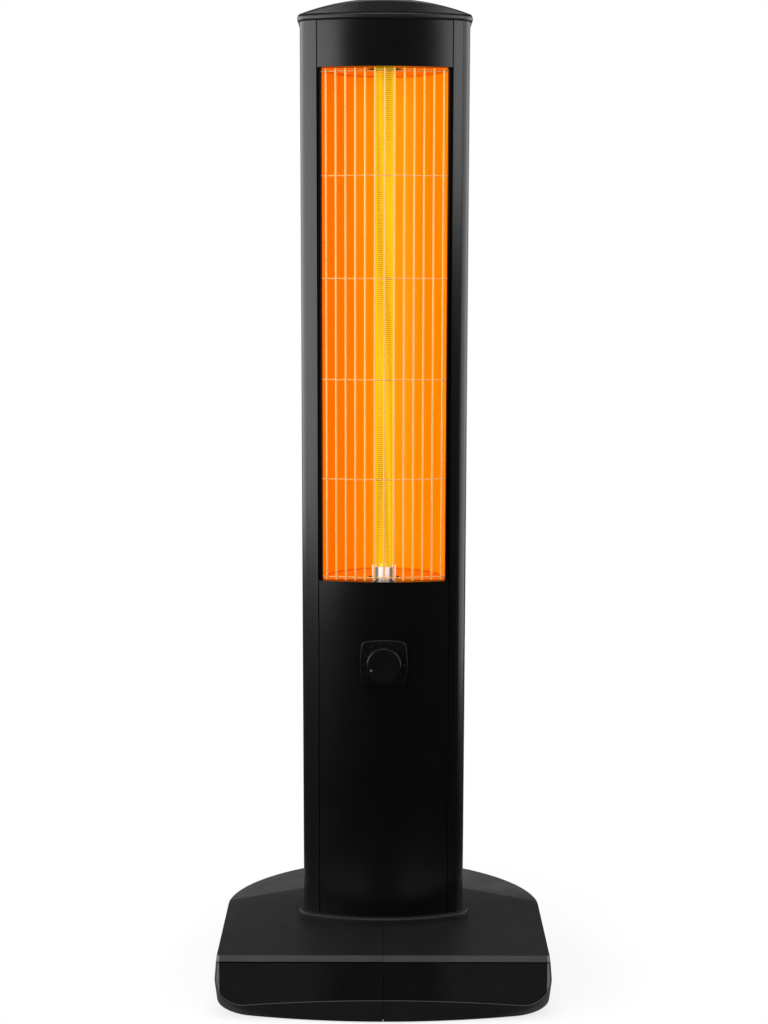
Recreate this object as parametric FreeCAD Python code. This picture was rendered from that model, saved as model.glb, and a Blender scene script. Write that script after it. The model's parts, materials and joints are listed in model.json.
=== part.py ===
import FreeCAD, Part
import math
import os

from FreeCAD import Vector

# Driving dimensions in millimetres: X to the right, front towards -Y, Z up, floor at zero

# Tower outline and length
tower_width = 165.8
tower_front = 58.0
tower_rear = 45.0
front_arc_radius = 220.0
front_corner_radius = 13.0
rear_corner_radius = 12.0
tower_wall = 2.2
tower_foot = 30.0
overall_height = 999.0
cap_height = 25.0

# Front panels and window
panel_half_width = 66.0
panel_seam = 0.4
panel_seat_gap = 0.2
panel_lip_wall = 2.0
window_half_width = 64.5
window_sill = 427.0
upper_panel_height = 44.0
jamb_wall = 2.0
jamb_depth = 14.0
jamb_strip = 2.4
jamb_setback = 4.0

# Screw channels inside the side profiles
channel_radius = 4.5
channel_bore = 1.6
channel_front = -22.0
channel_rear = 26.0
channel_sink = 1.0

# Back panel
back_half_width = 71.7
back_sheet = 1.5
back_gap = 0.3
ledge_width = 9.0
ledge_wall = 2.2
ledge_root = 2.0
vent_length = 48.0
vent_height = 4.0
vent_pitch = 9.0
vent_rows = 9
vent_column = 32.0
vent_low_start = 452.0
vent_high_drop = 122.0
back_screw_rows = 4
back_screw_low = 104.0
back_screw_drop = 34.0
back_screw_inset = 4.5

# Screws
screw_radius = 1.5
screw_head_radius = 3.2
screw_head_height = 2.0
screw_length = 9.0
screw_clearance = 0.1
cross_width = 0.9
cross_length = 3.6
cross_depth = 0.8

# Top cap
cap_overhang = 2.4
cap_band_height = 6.0
cap_band_round = 2.2
crown_overhang = 1.6
crown_radius = 240.0
crown_round = 2.0
cap_wall = 2.5
cap_peg_length = 14.0
cap_peg_clearance = 0.1

# Tower bottom plate
bottom_plate = 3.0
bottom_opening_inset = 20.0

# Reflector
reflector_axis = -40.0
reflector_sheet = 0.8
reflector_straight = 1.2
reflector_overlap = 3.0
end_plate_gap = 0.1
end_plate_hole = 17.0

# Wire guard
upright_wires = 13
upright_pitch = 9.55
upright_radius = 1.0
cross_wires = 6
cross_radius = 0.65
guard_inset = 4.5
guard_end_gap = 1.0
guard_cross_gap = 3.5
guard_weld = 0.2
guard_seat_depth = 2.6
guard_hole_clearance = 0.1

# Heating tube, distances outward from the end plates
tube_axis = -28.0
tube_radius = 10.25
tube_wall = 1.5
tube_end = 11.0
sleeve_radius = 12.2
sleeve_clearance = 0.25
sleeve_floor = 1.0
sleeve_end = 14.0
sleeve_show = 12.0
upper_sleeve_setback = 4.0
holder_radius = 15.0
holder_height = 9.0
bracket_drop = 22.0
bracket_sheet = 1.0
bracket_half_width = 26.0
bracket_half_depth = 13.0
bracket_flange = 8.0
bracket_hole = 6.0
rivet_radius = 1.6
rivet_head = 3.0
rivet_height = 1.0
pin_radius = 2.0
pin_clearance = 0.1
pin_head_radius = 8.3
pin_head_start = 5.0
pin_head_end = 8.0
pin_end = 34.0

# Heating coil
coil_turns = 96
coil_radius = 7.5
coil_wire_radius = 0.55
coil_end_rise = 5.0
coil_end_sweep = 60.0

# Control
control_height = 345.0
bezel_half_width = 24.0
bezel_half_height = 23.2
bezel_corner = 6.0
bezel_bulge = 1.2
bezel_proud = 3.4
bezel_recess_radius = 10.5
bezel_edge_round = 0.8
bush_radius = 5.0
bush_clearance = 0.2
bush_proud = 5.4
nut_half_flats = 7.0
nut_height = 2.4
nut_floor = 1.4
knob_radius = 17.8
knob_height = 10.5
knob_gap = 0.7
knob_face = 3.0
knob_skirt = 2.6
knob_taper = 0.7
knob_edge_round = 1.2
knob_dish_radius = 12.0
knob_dish_depth = 0.6
hub_radius = 6.0
hub_setback = 2.2
shaft_radius = 3.0
shaft_clearance = 0.05
shaft_flat = 1.8
shaft_tip_gap = 0.4
shaft_inside = 10.0
pointer_radius = 1.2
pointer_place = 13.6
pointer_angle = 202.0
pointer_depth = 1.0
thermostat_half = 17.0
thermostat_depth = 22.0
thermostat_setback = 2.0
tab_half_width = 2.4
tab_half_sheet = 0.4
tab_length = 8.0
tab_spread = 9.0

# Thermal cut-out under the bottom end plate
cutout_radius = 8.0
cutout_height = 7.0
cutout_x = 42.0
cutout_y = -24.0

# Terminal block and cable gland on the back panel
block_half_width = 20.0
block_height = 16.0
block_depth = 14.0
block_bottom = 180.0
block_poles = 3
block_pitch = 12.0
block_bore = 2.2
gland_height = 130.0
gland_flange_radius = 12.0
gland_flange = 3.0
gland_neck_radius = 8.0
gland_bore = 3.6
gland_clearance = 0.1
gland_nut_radius = 12.0
gland_nut_height = 5.0
gland_stub = 9.0

# Lead wires
lead_radius = 1.2
lead_end_gap = 0.2
lead_stub = 10.0
lead_bend = 14.0
lead_slack = 6.0
lead_drop = 30.0

# Base outline
base_half_width = 170.0
base_front = 140.0
base_rear = 140.0
base_front_radius = 668.0
base_front_corner = 48.0
base_rear_radius = 188.0
base_rear_corner = 150.0
base_draft = 0.085
skirt_bottom = 1.0

# Base front face and deck
face_front = 137.0
face_top = 62.0
face_sill = 16.0
face_sill_rise = 5.0
face_corner = 28.0
bevel_run = 5.5
bevel_rise = 4.3
deck_slope = 0.05
crease_side_y = -4.5
crease_inner_x = 87.0
crease_inner_y = 27.5
facet_low_x = 125.0
facet_low_y = 90.0
facet_low_z = 66.1

# Base shell
base_wall = 3.2
cavity_inset = 5.0
half_seam = 0.2
seam_lip_gap = 0.2
seam_lip_wall = 1.6
seam_lip_reach = 6.0
socket_wall = 3.4
socket_clearance = 0.3
socket_ledge = 4.0
socket_ledge_inset = 14.0
rib_wall = 2.5
rib_bottom = 20.0
rib_places = (-12.0, 24.0)
inlay_rim = 1.1
inlay_rim_chamfer = 0.8
inlay_depth = 1.6
inlay_gap = 0.1
joint_boss_half = 12.0
joint_boss_depth = 13.0
joint_boss_bottom = 24.0
joint_boss_height = 14.0
joint_screw_radius = 2.0
joint_screw_head = 4.0
joint_screw_length = 20.0

# Tower collar
collar_width = 5.4
collar_height = 6.5
collar_gap = 0.3
collar_round = 2.4
collar_end = -34.0

# Rubber feet
foot_radius = 8.5
foot_stem_radius = 3.0
foot_stem_length = 7.0
foot_stem_clearance = 0.1
foot_boss_radius = 11.0
foot_places = ((132.0, -84.0), (146.0, 8.0), (100.0, 88.0))

# Tip-over switch in the right half of the base
switch_x = 122.0
switch_y = -38.0
switch_half_width = 13.0
switch_half_depth = 11.0
switch_bottom = 12.0
switch_top = 46.0
switch_floor = 3.0
switch_roof = 5.0
switch_bore = 8.0
switch_boss_radius = 9.0
plunger_radius = 4.0
plunger_clearance = 0.05
plunger_travel = 4.0
plunger_stop_gap = 0.3
plunger_flange_radius = 7.5
plunger_flange = 2.0
plunger_guide_radius = 2.4
plunger_guide_length = 8.0
plunger_tip_round = 1.5
spring_radius = 4.6
spring_wire_radius = 0.5
spring_turns = 5
spring_end_rise = 2.2
spring_seat_gap = 0.1

# Modelling margins
overrun = 1.0
reach = 400.0
least_round = 1.0
touch = 0.001

# Sizes that follow from the driving dimensions
tower_top = overall_height - cap_height
window_head = tower_top - upper_panel_height
front_arc_centre = front_arc_radius - tower_front
skin_edge = panel_half_width + panel_seam
channel_x = tower_width / 2 - tower_wall + channel_sink - channel_radius
channel_places = (channel_front, channel_rear)
back_inside = tower_rear - back_sheet
back_screw_x = back_half_width - back_screw_inset
back_screw_pitch = (tower_top - back_screw_drop - back_screw_low) / (back_screw_rows - 1)
back_screw_heights = [back_screw_low + row * back_screw_pitch for row in range(back_screw_rows)]
vent_bottoms = (vent_low_start, tower_top - vent_high_drop)
reflector_radius = window_half_width - jamb_strip
end_plate_front = reflector_axis - reflector_straight
lower_plate_face = window_sill - reflector_sheet
upper_plate_face = window_head + reflector_sheet
guard_centre_radius = front_arc_radius - guard_inset
cross_centre_radius = guard_centre_radius - upright_radius - cross_radius + guard_weld
guard_low_cross = window_sill + guard_cross_gap
guard_cross_pitch = (window_head - window_sill - 2 * guard_cross_gap) / (cross_wires - 1)
panel_back = -tower_front + tower_wall
thermostat_front = panel_back + thermostat_setback
thermostat_rear = thermostat_front + thermostat_depth
bezel_front = -tower_front - bezel_proud
knob_back = bezel_front - knob_gap
knob_front = knob_back - knob_height
base_blank_top = face_top + bevel_rise + deck_slope * (base_rear + face_front) + overrun
plunger_flange_low = switch_bottom + switch_floor + plunger_travel + plunger_stop_gap
plunger_flange_top = plunger_flange_low + plunger_flange
switch_ceiling = switch_top - switch_roof


def box(x0, x1, y0, y1, z0, z1):
    """Upright block between two corners."""
    return Part.makeBox(x1 - x0, y1 - y0, z1 - z0, Vector(x0, y0, z0))


def post(radius, x, y, z0, z1):
    """Upright round bar."""
    return Part.makeCylinder(radius, z1 - z0, Vector(x, y, z0))


def stud(radius, x, z, y0, y1):
    """Round bar along Y."""
    return Part.makeCylinder(radius, y1 - y0, Vector(x, y0, z), Vector(0, 1, 0))


def bar(radius, y, z, x0, x1):
    """Round bar along X."""
    return Part.makeCylinder(radius, x1 - x0, Vector(x0, y, z), Vector(1, 0, 0))


def joined(first, others):
    """One solid from pieces that meet."""
    return first.fuse(others).removeSplitter()


def mirrored(shape):
    """Copy on the other side of the middle plane."""
    return shape.mirror(Vector(0, 0, 0), Vector(1, 0, 0))


def upright_edges(shape, y_from, y_to):
    """Straight upright edges between two depths."""
    found = []
    for edge in shape.Edges:
        bounds = edge.BoundBox
        upright = bounds.XLength < touch and bounds.YLength < touch
        if upright and y_from < bounds.Center.y < y_to:
            found.append(edge)
    return found


def level_edges(shape, height):
    """Edges that lie at one height."""
    found = []
    for edge in shape.Edges:
        bounds = edge.BoundBox
        if bounds.ZLength < touch and abs(bounds.ZMin - height) < touch:
            found.append(edge)
    return found


def line(start, end):
    """Straight edge."""
    return Part.makeLine(start, end)


def arc(start, middle, end):
    """Arc edge through three points."""
    return Part.Arc(start, middle, end).toShape()


# Tower outline

def front_y(x, inset):
    """Depth of the curved front at a distance from the middle."""
    return front_arc_centre - math.sqrt((front_arc_radius - inset) ** 2 - x * x)


def tower_prism(outset, z0, z1):
    """Solid with the tower's outline, grown by outset, between two heights."""
    half_width = tower_width / 2 + outset
    rear = tower_rear + outset
    block = box(-half_width, half_width, -tower_front - reach, rear, z0, z1)
    prism = block.common(post(front_arc_radius + outset, 0, front_arc_centre, z0, z1))
    front_round = max(front_corner_radius + outset, least_round)
    rear_round = max(rear_corner_radius + outset, least_round)
    prism = prism.makeFillet(front_round, upright_edges(prism, -reach, 0))
    return prism.makeFillet(rear_round, upright_edges(prism, rear - touch, rear + touch))


def tower_skin(z0, z1):
    """Hollow tower outline of one wall thickness."""
    return tower_prism(0, z0, z1).cut(tower_prism(-tower_wall, z0 - overrun, z1 + overrun))


# Screws

def cross_recess(length):
    """Cross-shaped driver recess, centred on the origin, sunk along -Z."""
    half = cross_width / 2
    first = box(-length / 2, length / 2, -half, half, -cross_depth, overrun)
    second = box(-half, half, -length / 2, length / 2, -cross_depth, overrun)
    return first.fuse(second)


def screw(shank_radius, head_radius, length):
    """Pan-head screw along Z, its head's underside at the origin and its shank downwards."""
    shank = post(shank_radius, 0, 0, -length, 0)
    head = post(head_radius, 0, 0, 0, screw_head_height)
    head = head.makeFillet(screw_head_height / 2, level_edges(head, screw_head_height))
    recess = cross_recess(cross_length)
    recess.translate(Vector(0, 0, screw_head_height))
    return joined(shank, [head]).cut(recess)


def turned(shape, axis, angle):
    """Copy turned about an axis through the origin."""
    copy = shape.copy()
    copy.rotate(Vector(0, 0, 0), axis, angle)
    return copy


def placed(shape, x, y, z):
    """Copy moved to a place."""
    copy = shape.copy()
    copy.translate(Vector(x, y, z))
    return copy


# Side profiles and panels

def right_side_profile():
    """Rounded side extrusion with a window jamb, screw channels and a ledge for the back panel."""
    side = box(skin_edge, reach, -reach, reach, tower_foot, tower_top)
    skin = tower_skin(tower_foot, tower_top).common(side)
    rebate = back_half_width + back_gap
    skin = skin.cut(box(0, rebate, 0, reach, tower_foot, tower_top))
    jamb_rear = front_y(window_half_width, 0) + jamb_depth
    jamb_outer = skin_edge + jamb_wall
    jamb = box(window_half_width, jamb_outer, -reach, jamb_rear, tower_foot, tower_top)
    jamb = jamb.common(tower_prism(-tower_wall - panel_seat_gap, tower_foot, tower_top))
    strip = box(window_half_width - jamb_strip, jamb_outer, -reach, jamb_rear, tower_foot, tower_top)
    strip = strip.common(tower_prism(-jamb_setback, tower_foot, tower_top))
    root = box(skin_edge, jamb_outer, -reach, jamb_rear, tower_foot, tower_top)
    root = root.common(tower_prism(0, tower_foot, tower_top))
    ledge_front = back_inside - ledge_wall
    ledge_inner = back_half_width - ledge_width
    ledge = box(ledge_inner, rebate + ledge_root, ledge_front, back_inside, tower_foot, tower_top)
    channels = [post(channel_radius, channel_x, y, tower_foot, tower_top) for y in channel_places]
    profile = joined(skin, [jamb, strip, root, ledge] + channels)
    for y in channel_places:
        profile = profile.cut(post(channel_bore, channel_x, y, tower_foot - overrun, tower_top + overrun))
    for z in back_screw_heights:
        profile = profile.cut(stud(screw_radius + screw_clearance, back_screw_x, z, 0, tower_rear))
    for z in cross_wire_heights():
        profile = profile.cut(cross_wire(z, cross_radius + guard_hole_clearance))
    return profile


def left_side_profile():
    """Mirror image of the right profile."""
    return mirrored(right_side_profile())


def front_plate(z0, z1):
    """Curved panel between the two profiles."""
    middle = box(-panel_half_width, panel_half_width, -reach, 0, z0, z1)
    return tower_skin(z0, z1).common(middle)


def panel_lip(z0, z1):
    """Return of a panel at the window's edge, between the jambs."""
    half_width = window_half_width - jamb_strip - panel_seat_gap
    lip_rear = end_plate_front - panel_seat_gap
    lip = box(-half_width, half_width, -reach, lip_rear, z0, z1)
    return lip.common(tower_prism(-tower_wall / 2, z0, z1))


def upper_front_panel():
    """Blank panel above the window."""
    plate = front_plate(window_head, tower_top)
    return joined(plate, [panel_lip(window_head, window_head + panel_lip_wall)])


def lower_front_panel():
    """Panel below the window, with the control's hole."""
    plate = front_plate(tower_foot, window_sill)
    panel = joined(plate, [panel_lip(window_sill - panel_lip_wall, window_sill)])
    return panel.cut(stud(bush_radius + bush_clearance, 0, control_height, -reach, 0))


def vent_slot(x, z):
    """Cutter for one round-ended vent slot."""
    end = vent_height / 2
    half = vent_length / 2 - end
    middle = box(x - half, x + half, 0, reach, z - end, z + end)
    ends = [stud(end, x + side * half, z, 0, reach) for side in (-1, 1)]
    return middle.fuse(ends)


def back_panel():
    """Flat back sheet with two fields of vents."""
    sheet = box(-back_half_width, back_half_width, back_inside, tower_rear, tower_foot, tower_top)
    cutters = [stud(gland_neck_radius + gland_clearance, 0, gland_height, 0, reach)]
    for bottom in vent_bottoms:
        for row in range(vent_rows):
            for side in (-1, 1):
                cutters.append(vent_slot(side * vent_column, bottom + row * vent_pitch))
    for z in back_screw_heights:
        for side in (-1, 1):
            cutters.append(stud(screw_radius + screw_clearance, side * back_screw_x, z, 0, reach))
    return sheet.cut(cutters)


def back_panel_screws():
    """Screws that hold the back panel to the profiles."""
    one = turned(screw(screw_radius, screw_head_radius, screw_length), Vector(1, 0, 0), -90)
    solids = []
    for z in back_screw_heights:
        for side in (-1, 1):
            solids.append(placed(one, side * back_screw_x, tower_rear, z))
    return Part.makeCompound(solids)


# Top cap and bottom plate

def crown_dome(inset):
    """Ball whose top is the domed crown."""
    return Part.makeSphere(crown_radius - inset, Vector(0, 0, overall_height - crown_radius))


def top_cap():
    """Hollow cap: overhanging rim band, domed crown and pegs for the screw channels."""
    band_top = tower_top + cap_band_height
    band = tower_prism(cap_overhang, tower_top, band_top)
    band_edges = level_edges(band, tower_top) + level_edges(band, band_top)
    band = band.makeFillet(cap_band_round, band_edges)
    crown = tower_prism(crown_overhang, tower_top + cap_band_round / 2, overall_height + overrun)
    crown = crown.common(crown_dome(0))
    rim = [edge for edge in crown.Edges if edge.BoundBox.ZMin > tower_top + cap_band_round]
    crown = crown.makeFillet(crown_round, rim)
    hollow = tower_prism(-tower_wall, tower_top - overrun, overall_height).common(crown_dome(cap_wall))
    cap = joined(band, [crown]).cut(hollow)
    peg_radius = channel_bore - cap_peg_clearance
    pegs = []
    for y in channel_places:
        for side in (-1, 1):
            x = side * channel_x
            boss = post(channel_radius, x, y, tower_top, overall_height).common(crown_dome(cap_wall / 2))
            pegs.append(boss)
            pegs.append(post(peg_radius, x, y, tower_top - cap_peg_length, tower_top + overrun))
    return joined(cap, pegs)


def tower_bottom_plate():
    """Plate under the tower, open in the middle for the wiring."""
    low = tower_foot - bottom_plate
    plate = tower_prism(0, low, tower_foot)
    plate = plate.cut(tower_prism(-bottom_opening_inset, low - overrun, tower_foot + overrun))
    for y in channel_places:
        for side in (-1, 1):
            plate = plate.cut(post(screw_radius + screw_clearance, side * channel_x, y, low, tower_foot))
    return plate


def tower_screws():
    """Screws up through the bottom plate into the profiles' channels."""
    one = turned(screw(screw_radius, screw_head_radius, screw_length), Vector(1, 0, 0), 180)
    solids = []
    for y in channel_places:
        for side in (-1, 1):
            solids.append(placed(one, side * channel_x, y, tower_foot - bottom_plate))
    return Part.makeCompound(solids)


# Reflector

def trough(radius, z0, z1):
    """Half-round bar with straight sides towards the front."""
    round_part = post(radius, 0, reflector_axis, z0, z1)
    straight = box(-radius, radius, end_plate_front, reflector_axis, z0, z1)
    behind = box(-reach, reach, end_plate_front, reach, z0, z1)
    return joined(round_part, [straight]).common(behind)


def reflector():
    """Bent sheet behind the heating tube, seated between the jambs."""
    z0 = window_sill - reflector_overlap
    z1 = window_head + reflector_overlap
    inside = trough(reflector_radius - reflector_sheet, z0 - overrun, z1 + overrun)
    front = box(-reach, reach, -reach, end_plate_front + touch, z0 - overrun, z1 + overrun)
    sheet = trough(reflector_radius, z0, z1).cut(inside)
    return sheet.cut(front)


def end_plate(z0, z1):
    """Flat end of the reflector, with the tube's hole and the bracket's rivet holes."""
    plate = trough(reflector_radius - reflector_sheet - end_plate_gap, z0, z1)
    plate = plate.cut(post(end_plate_hole, 0, tube_axis, z0 - overrun, z1 + overrun))
    for x, y in rivet_places():
        plate = plate.cut(post(rivet_radius, x, y, z0 - overrun, z1 + overrun))
    return plate


def reflector_bottom_plate():
    """Lower end of the reflector."""
    return end_plate(lower_plate_face, window_sill)


def reflector_top_plate():
    """Upper end of the reflector."""
    return end_plate(window_head, upper_plate_face)


# Wire guard

def cross_wire_heights():
    """Heights of the thin cross wires."""
    return [guard_low_cross + index * guard_cross_pitch for index in range(cross_wires)]


def cross_wire(z, radius):
    """Curved cross wire whose ends reach into the jambs."""
    half_angle = math.degrees(math.asin((window_half_width + guard_seat_depth) / cross_centre_radius))
    middle = Vector(0, front_arc_centre, z)
    start = Vector(0, front_arc_centre - cross_centre_radius, z)
    face = Part.Face(Part.Wire([Part.makeCircle(radius, start, Vector(1, 0, 0))]))
    face.rotate(middle, Vector(0, 0, 1), -half_angle)
    return face.revolve(middle, Vector(0, 0, 1), 2 * half_angle)


def wire_guard():
    """Welded guard of upright wires on thin cross wires."""
    low = window_sill + guard_end_gap
    high = window_head - guard_end_gap
    first = -(upright_wires - 1) / 2 * upright_pitch
    wires = []
    for index in range(upright_wires):
        x = first + index * upright_pitch
        wires.append(post(upright_radius, x, front_y(x, guard_inset), low, high))
    for z in cross_wire_heights():
        wires.append(cross_wire(z, cross_radius))
    return joined(wires[0], wires[1:])


# Heating tube and what carries it

def span(radius, face, outward, near, far):
    """Round bar on the tube's axis between two distances outward from an end plate."""
    ends = sorted((face + outward * near, face + outward * far))
    return post(radius, 0, tube_axis, ends[0], ends[1])


def slab(half_width, half_depth, face, outward, near, far):
    """Block about the tube's axis between two distances outward from an end plate."""
    ends = sorted((face + outward * near, face + outward * far))
    return box(-half_width, half_width, tube_axis - half_depth, tube_axis + half_depth, ends[0], ends[1])


def quartz_tube():
    """Clear tube round the coil."""
    low = lower_plate_face - tube_end
    high = upper_plate_face + tube_end
    tube = post(tube_radius, 0, tube_axis, low, high)
    return tube.cut(post(tube_radius - tube_wall, 0, tube_axis, low - overrun, high + overrun))


def tube_sleeve(face, outward, inner_end):
    """Bright metal cup over one end of the tube."""
    cup = span(sleeve_radius, face, outward, inner_end, sleeve_end)
    floor_top = sleeve_end - sleeve_floor
    cup = cup.cut(span(tube_radius + sleeve_clearance, face, outward, inner_end - overrun, floor_top))
    return cup.cut(span(pin_radius + pin_clearance, face, outward, inner_end, sleeve_end + overrun))


def lower_tube_sleeve():
    """Sleeve that shows above the bottom end plate."""
    return tube_sleeve(lower_plate_face, -1, -reflector_sheet - sleeve_show)


def upper_tube_sleeve():
    """Sleeve hidden above the top end plate."""
    return tube_sleeve(upper_plate_face, 1, upper_sleeve_setback)


def ceramic_holder(face, outward):
    """Round ceramic seat for a sleeve, on its bracket's web."""
    far = bracket_drop - bracket_sheet
    near = far - holder_height
    holder = span(holder_radius, face, outward, near, far)
    holder = holder.cut(span(sleeve_radius + sleeve_clearance, face, outward, near - overrun, sleeve_end))
    return holder.cut(span(pin_radius + pin_clearance, face, outward, near, far + overrun))


def lower_ceramic_holder():
    """Seat of the lower sleeve."""
    return ceramic_holder(lower_plate_face, -1)


def upper_ceramic_holder():
    """Seat of the upper sleeve."""
    return ceramic_holder(upper_plate_face, 1)


def rivet_places():
    """Middles of the rivets in a bracket's flanges."""
    x = bracket_half_width + bracket_flange / 2
    y = bracket_half_depth / 2
    return [(sx * x, tube_axis + sy * y) for sx in (-1, 1) for sy in (-1, 1)]


def tube_bracket(face, outward):
    """Hat-shaped sheet bracket riveted to an end plate."""
    flange_reach = bracket_half_width + bracket_flange
    hat = slab(bracket_half_width, bracket_half_depth, face, outward, 0, bracket_drop)
    inner = bracket_half_width - bracket_sheet
    inside = slab(inner, bracket_half_depth + overrun, face, outward, -overrun, bracket_drop - bracket_sheet)
    flange = slab(flange_reach, bracket_half_depth, face, outward, 0, bracket_sheet)
    bracket = joined(hat, [flange]).cut(inside)
    bracket = bracket.cut(span(bracket_hole, face, outward, 0, bracket_drop + overrun))
    for x, y in rivet_places():
        bracket = bracket.cut(post(rivet_radius, x, y, face - bracket_drop, face + bracket_drop))
    return bracket


def lower_tube_bracket():
    """Bracket under the bottom end plate."""
    return tube_bracket(lower_plate_face, -1)


def upper_tube_bracket():
    """Bracket above the top end plate."""
    return tube_bracket(upper_plate_face, 1)


def bracket_rivets():
    """Rivets through the end plates and the brackets' flanges."""
    solids = []
    for face, outward in ((lower_plate_face, -1), (upper_plate_face, 1)):
        for x, y in rivet_places():
            far = face + outward * bracket_sheet
            ends = sorted((far, face - outward * reflector_sheet))
            head_ends = sorted((far, far + outward * rivet_height))
            shank = post(rivet_radius, x, y, ends[0], ends[1])
            head = post(rivet_head, x, y, head_ends[0], head_ends[1])
            solids.append(joined(shank, [head]))
    return Part.makeCompound(solids)


def terminal_pin(face, outward):
    """Headed pin that carries one end of the coil out through the sleeve."""
    head = span(pin_head_radius, face, outward, pin_head_start, pin_head_end)
    return joined(head, [span(pin_radius, face, outward, pin_head_end, pin_end)])


def lower_terminal_pin():
    """Pin below the tube."""
    return terminal_pin(lower_plate_face, -1)


def upper_terminal_pin():
    """Pin above the tube."""
    return terminal_pin(upper_plate_face, 1)


# Wound wires

def tangent_arc(start, knee, end):
    """Arc from start to end whose end tangents meet at the knee."""
    weight = (end - start).Length / 2 / (knee - start).Length
    crest = (start + end + knee * (2 * weight)) * (0.5 / (1 + weight))
    return arc(start, crest, end)


def biarc(start, start_way, end, end_way):
    """Two tangent arcs that leave start along start_way and reach end along end_way."""
    gap = end - start
    turn = 2 * (1 - start_way.dot(end_way))
    along = gap.dot(start_way + end_way)
    arm = (math.sqrt(along * along + turn * gap.dot(gap)) - along) / turn
    first_knee = start + start_way * arm
    second_knee = end - end_way * arm
    middle = (first_knee + second_knee) * 0.5
    return [tangent_arc(start, first_knee, middle), tangent_arc(middle, second_knee, end)]


def helix_point(x, y, radius, angle, z):
    """Point on an upright cylinder."""
    return Vector(x + radius * math.cos(angle), y + radius * math.sin(angle), z)


def helix_way(radius, angle, pitch):
    """Direction of an upright helix at an angle."""
    way = Vector(-radius * math.sin(angle), radius * math.cos(angle), pitch / (2 * math.pi))
    return way.normalize()


def least_gap(edges, wire_radius, pitch):
    """Least gap between the turns of a winding, measured on points along its middle line."""
    points = []
    for edge in edges:
        points.extend(edge.discretize(5)[:-1])
    skip = 12
    window = 60
    least = pitch
    for index, point in enumerate(points):
        for other in points[index + skip:index + window]:
            least = min(least, point.distanceToPoint(other))
    return least - 2 * wire_radius


def winding(name, x, y, z0, z1, radius, wire_radius, turns, end_rise):
    """Round wire wound about an upright axis, with straight ends that meet level seats."""
    up = Vector(0, 0, 1)
    straight = 2 * wire_radius
    low = z0 + straight + end_rise
    high = z1 - straight - end_rise
    pitch = (high - low) / turns
    sweep = math.radians(coil_end_sweep)
    last = 2 * math.pi * turns
    foot = helix_point(x, y, radius, -sweep, z0)
    lead_in = helix_point(x, y, radius, -sweep, z0 + straight)
    lead_out = helix_point(x, y, radius, last + sweep, z1 - straight)
    tip = helix_point(x, y, radius, last + sweep, z1)
    edges = [line(foot, lead_in)]
    edges += biarc(lead_in, up, helix_point(x, y, radius, 0, low), helix_way(radius, 0, pitch))
    for half_turn in range(2 * turns):
        start = half_turn * math.pi
        end = start + math.pi
        start_point = helix_point(x, y, radius, start, low + pitch * half_turn / 2)
        end_point = helix_point(x, y, radius, end, low + pitch * (half_turn + 1) / 2)
        edges += biarc(start_point, helix_way(radius, start, pitch), end_point, helix_way(radius, end, pitch))
    edges += biarc(helix_point(x, y, radius, last, high), helix_way(radius, last, pitch), lead_out, up)
    edges.append(line(lead_out, tip))
    ring = Part.Wire([Part.makeCircle(wire_radius, foot, up)])
    print(name, "least gap between turns", round(least_gap(edges, wire_radius, pitch), 3))
    return Part.Wire(edges).makePipeShell([ring], True, False)


def heating_coil():
    """Coil between the heads of the two terminal pins."""
    low = lower_plate_face - pin_head_start
    high = upper_plate_face + pin_head_start
    return winding("heating_coil", 0, tube_axis, low, high, coil_radius, coil_wire_radius,
                   coil_turns, coil_end_rise)


# Control

def bezel_outline(y, inset):
    """Square outline with bulged sides and round corners, at one depth."""
    half_width = bezel_half_width - inset
    half_height = bezel_half_height - inset
    flat_x = half_width - bezel_bulge - bezel_corner
    flat_z = half_height - bezel_bulge - bezel_corner
    edge_x = half_width - bezel_bulge
    edge_z = half_height - bezel_bulge
    slant = bezel_corner * (1 - math.sqrt(0.5))
    edges = []
    corner_x = edge_x - slant
    corner_z = edge_z - slant
    places = (
        (edge_x, -flat_z), (half_width, 0), (edge_x, flat_z), (corner_x, corner_z),
        (flat_x, edge_z), (0, half_height), (-flat_x, edge_z), (-corner_x, corner_z), (-edge_x, flat_z),
    )
    for side in (1, -1):
        points = [Vector(side * x, y, control_height + side * z) for x, z in places]
        edges += [arc(*points[index:index + 3]) for index in range(0, len(points) - 1, 2)]
    return Part.Wire(edges)


def knob_bezel():
    """Square plate on the lower panel, dished for the nut, with a hole for the thermostat's bush."""
    face = Part.Face(bezel_outline(bezel_front, 0))
    plate = face.extrude(Vector(0, tower_front, 0))
    rim = [edge for edge in plate.Edges if edge.BoundBox.YMax < bezel_front + touch]
    plate = plate.makeFillet(bezel_edge_round, rim)
    behind = control_height - tower_front
    plate = plate.cut(tower_prism(0, behind, control_height + tower_front))
    dish_floor = -tower_front - nut_floor
    plate = plate.cut(stud(bezel_recess_radius, 0, control_height, bezel_front - overrun, dish_floor))
    return plate.cut(stud(bush_radius + bush_clearance, 0, control_height, -reach, 0))


def flatted_bar(radius, flat, y0, y1):
    """Round bar along Y with a flat on its top."""
    round_bar = stud(radius, 0, control_height, y0, y1)
    low = control_height + flat
    return round_bar.cut(box(-radius, radius, y0, y1, low, low + radius + overrun))


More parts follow.
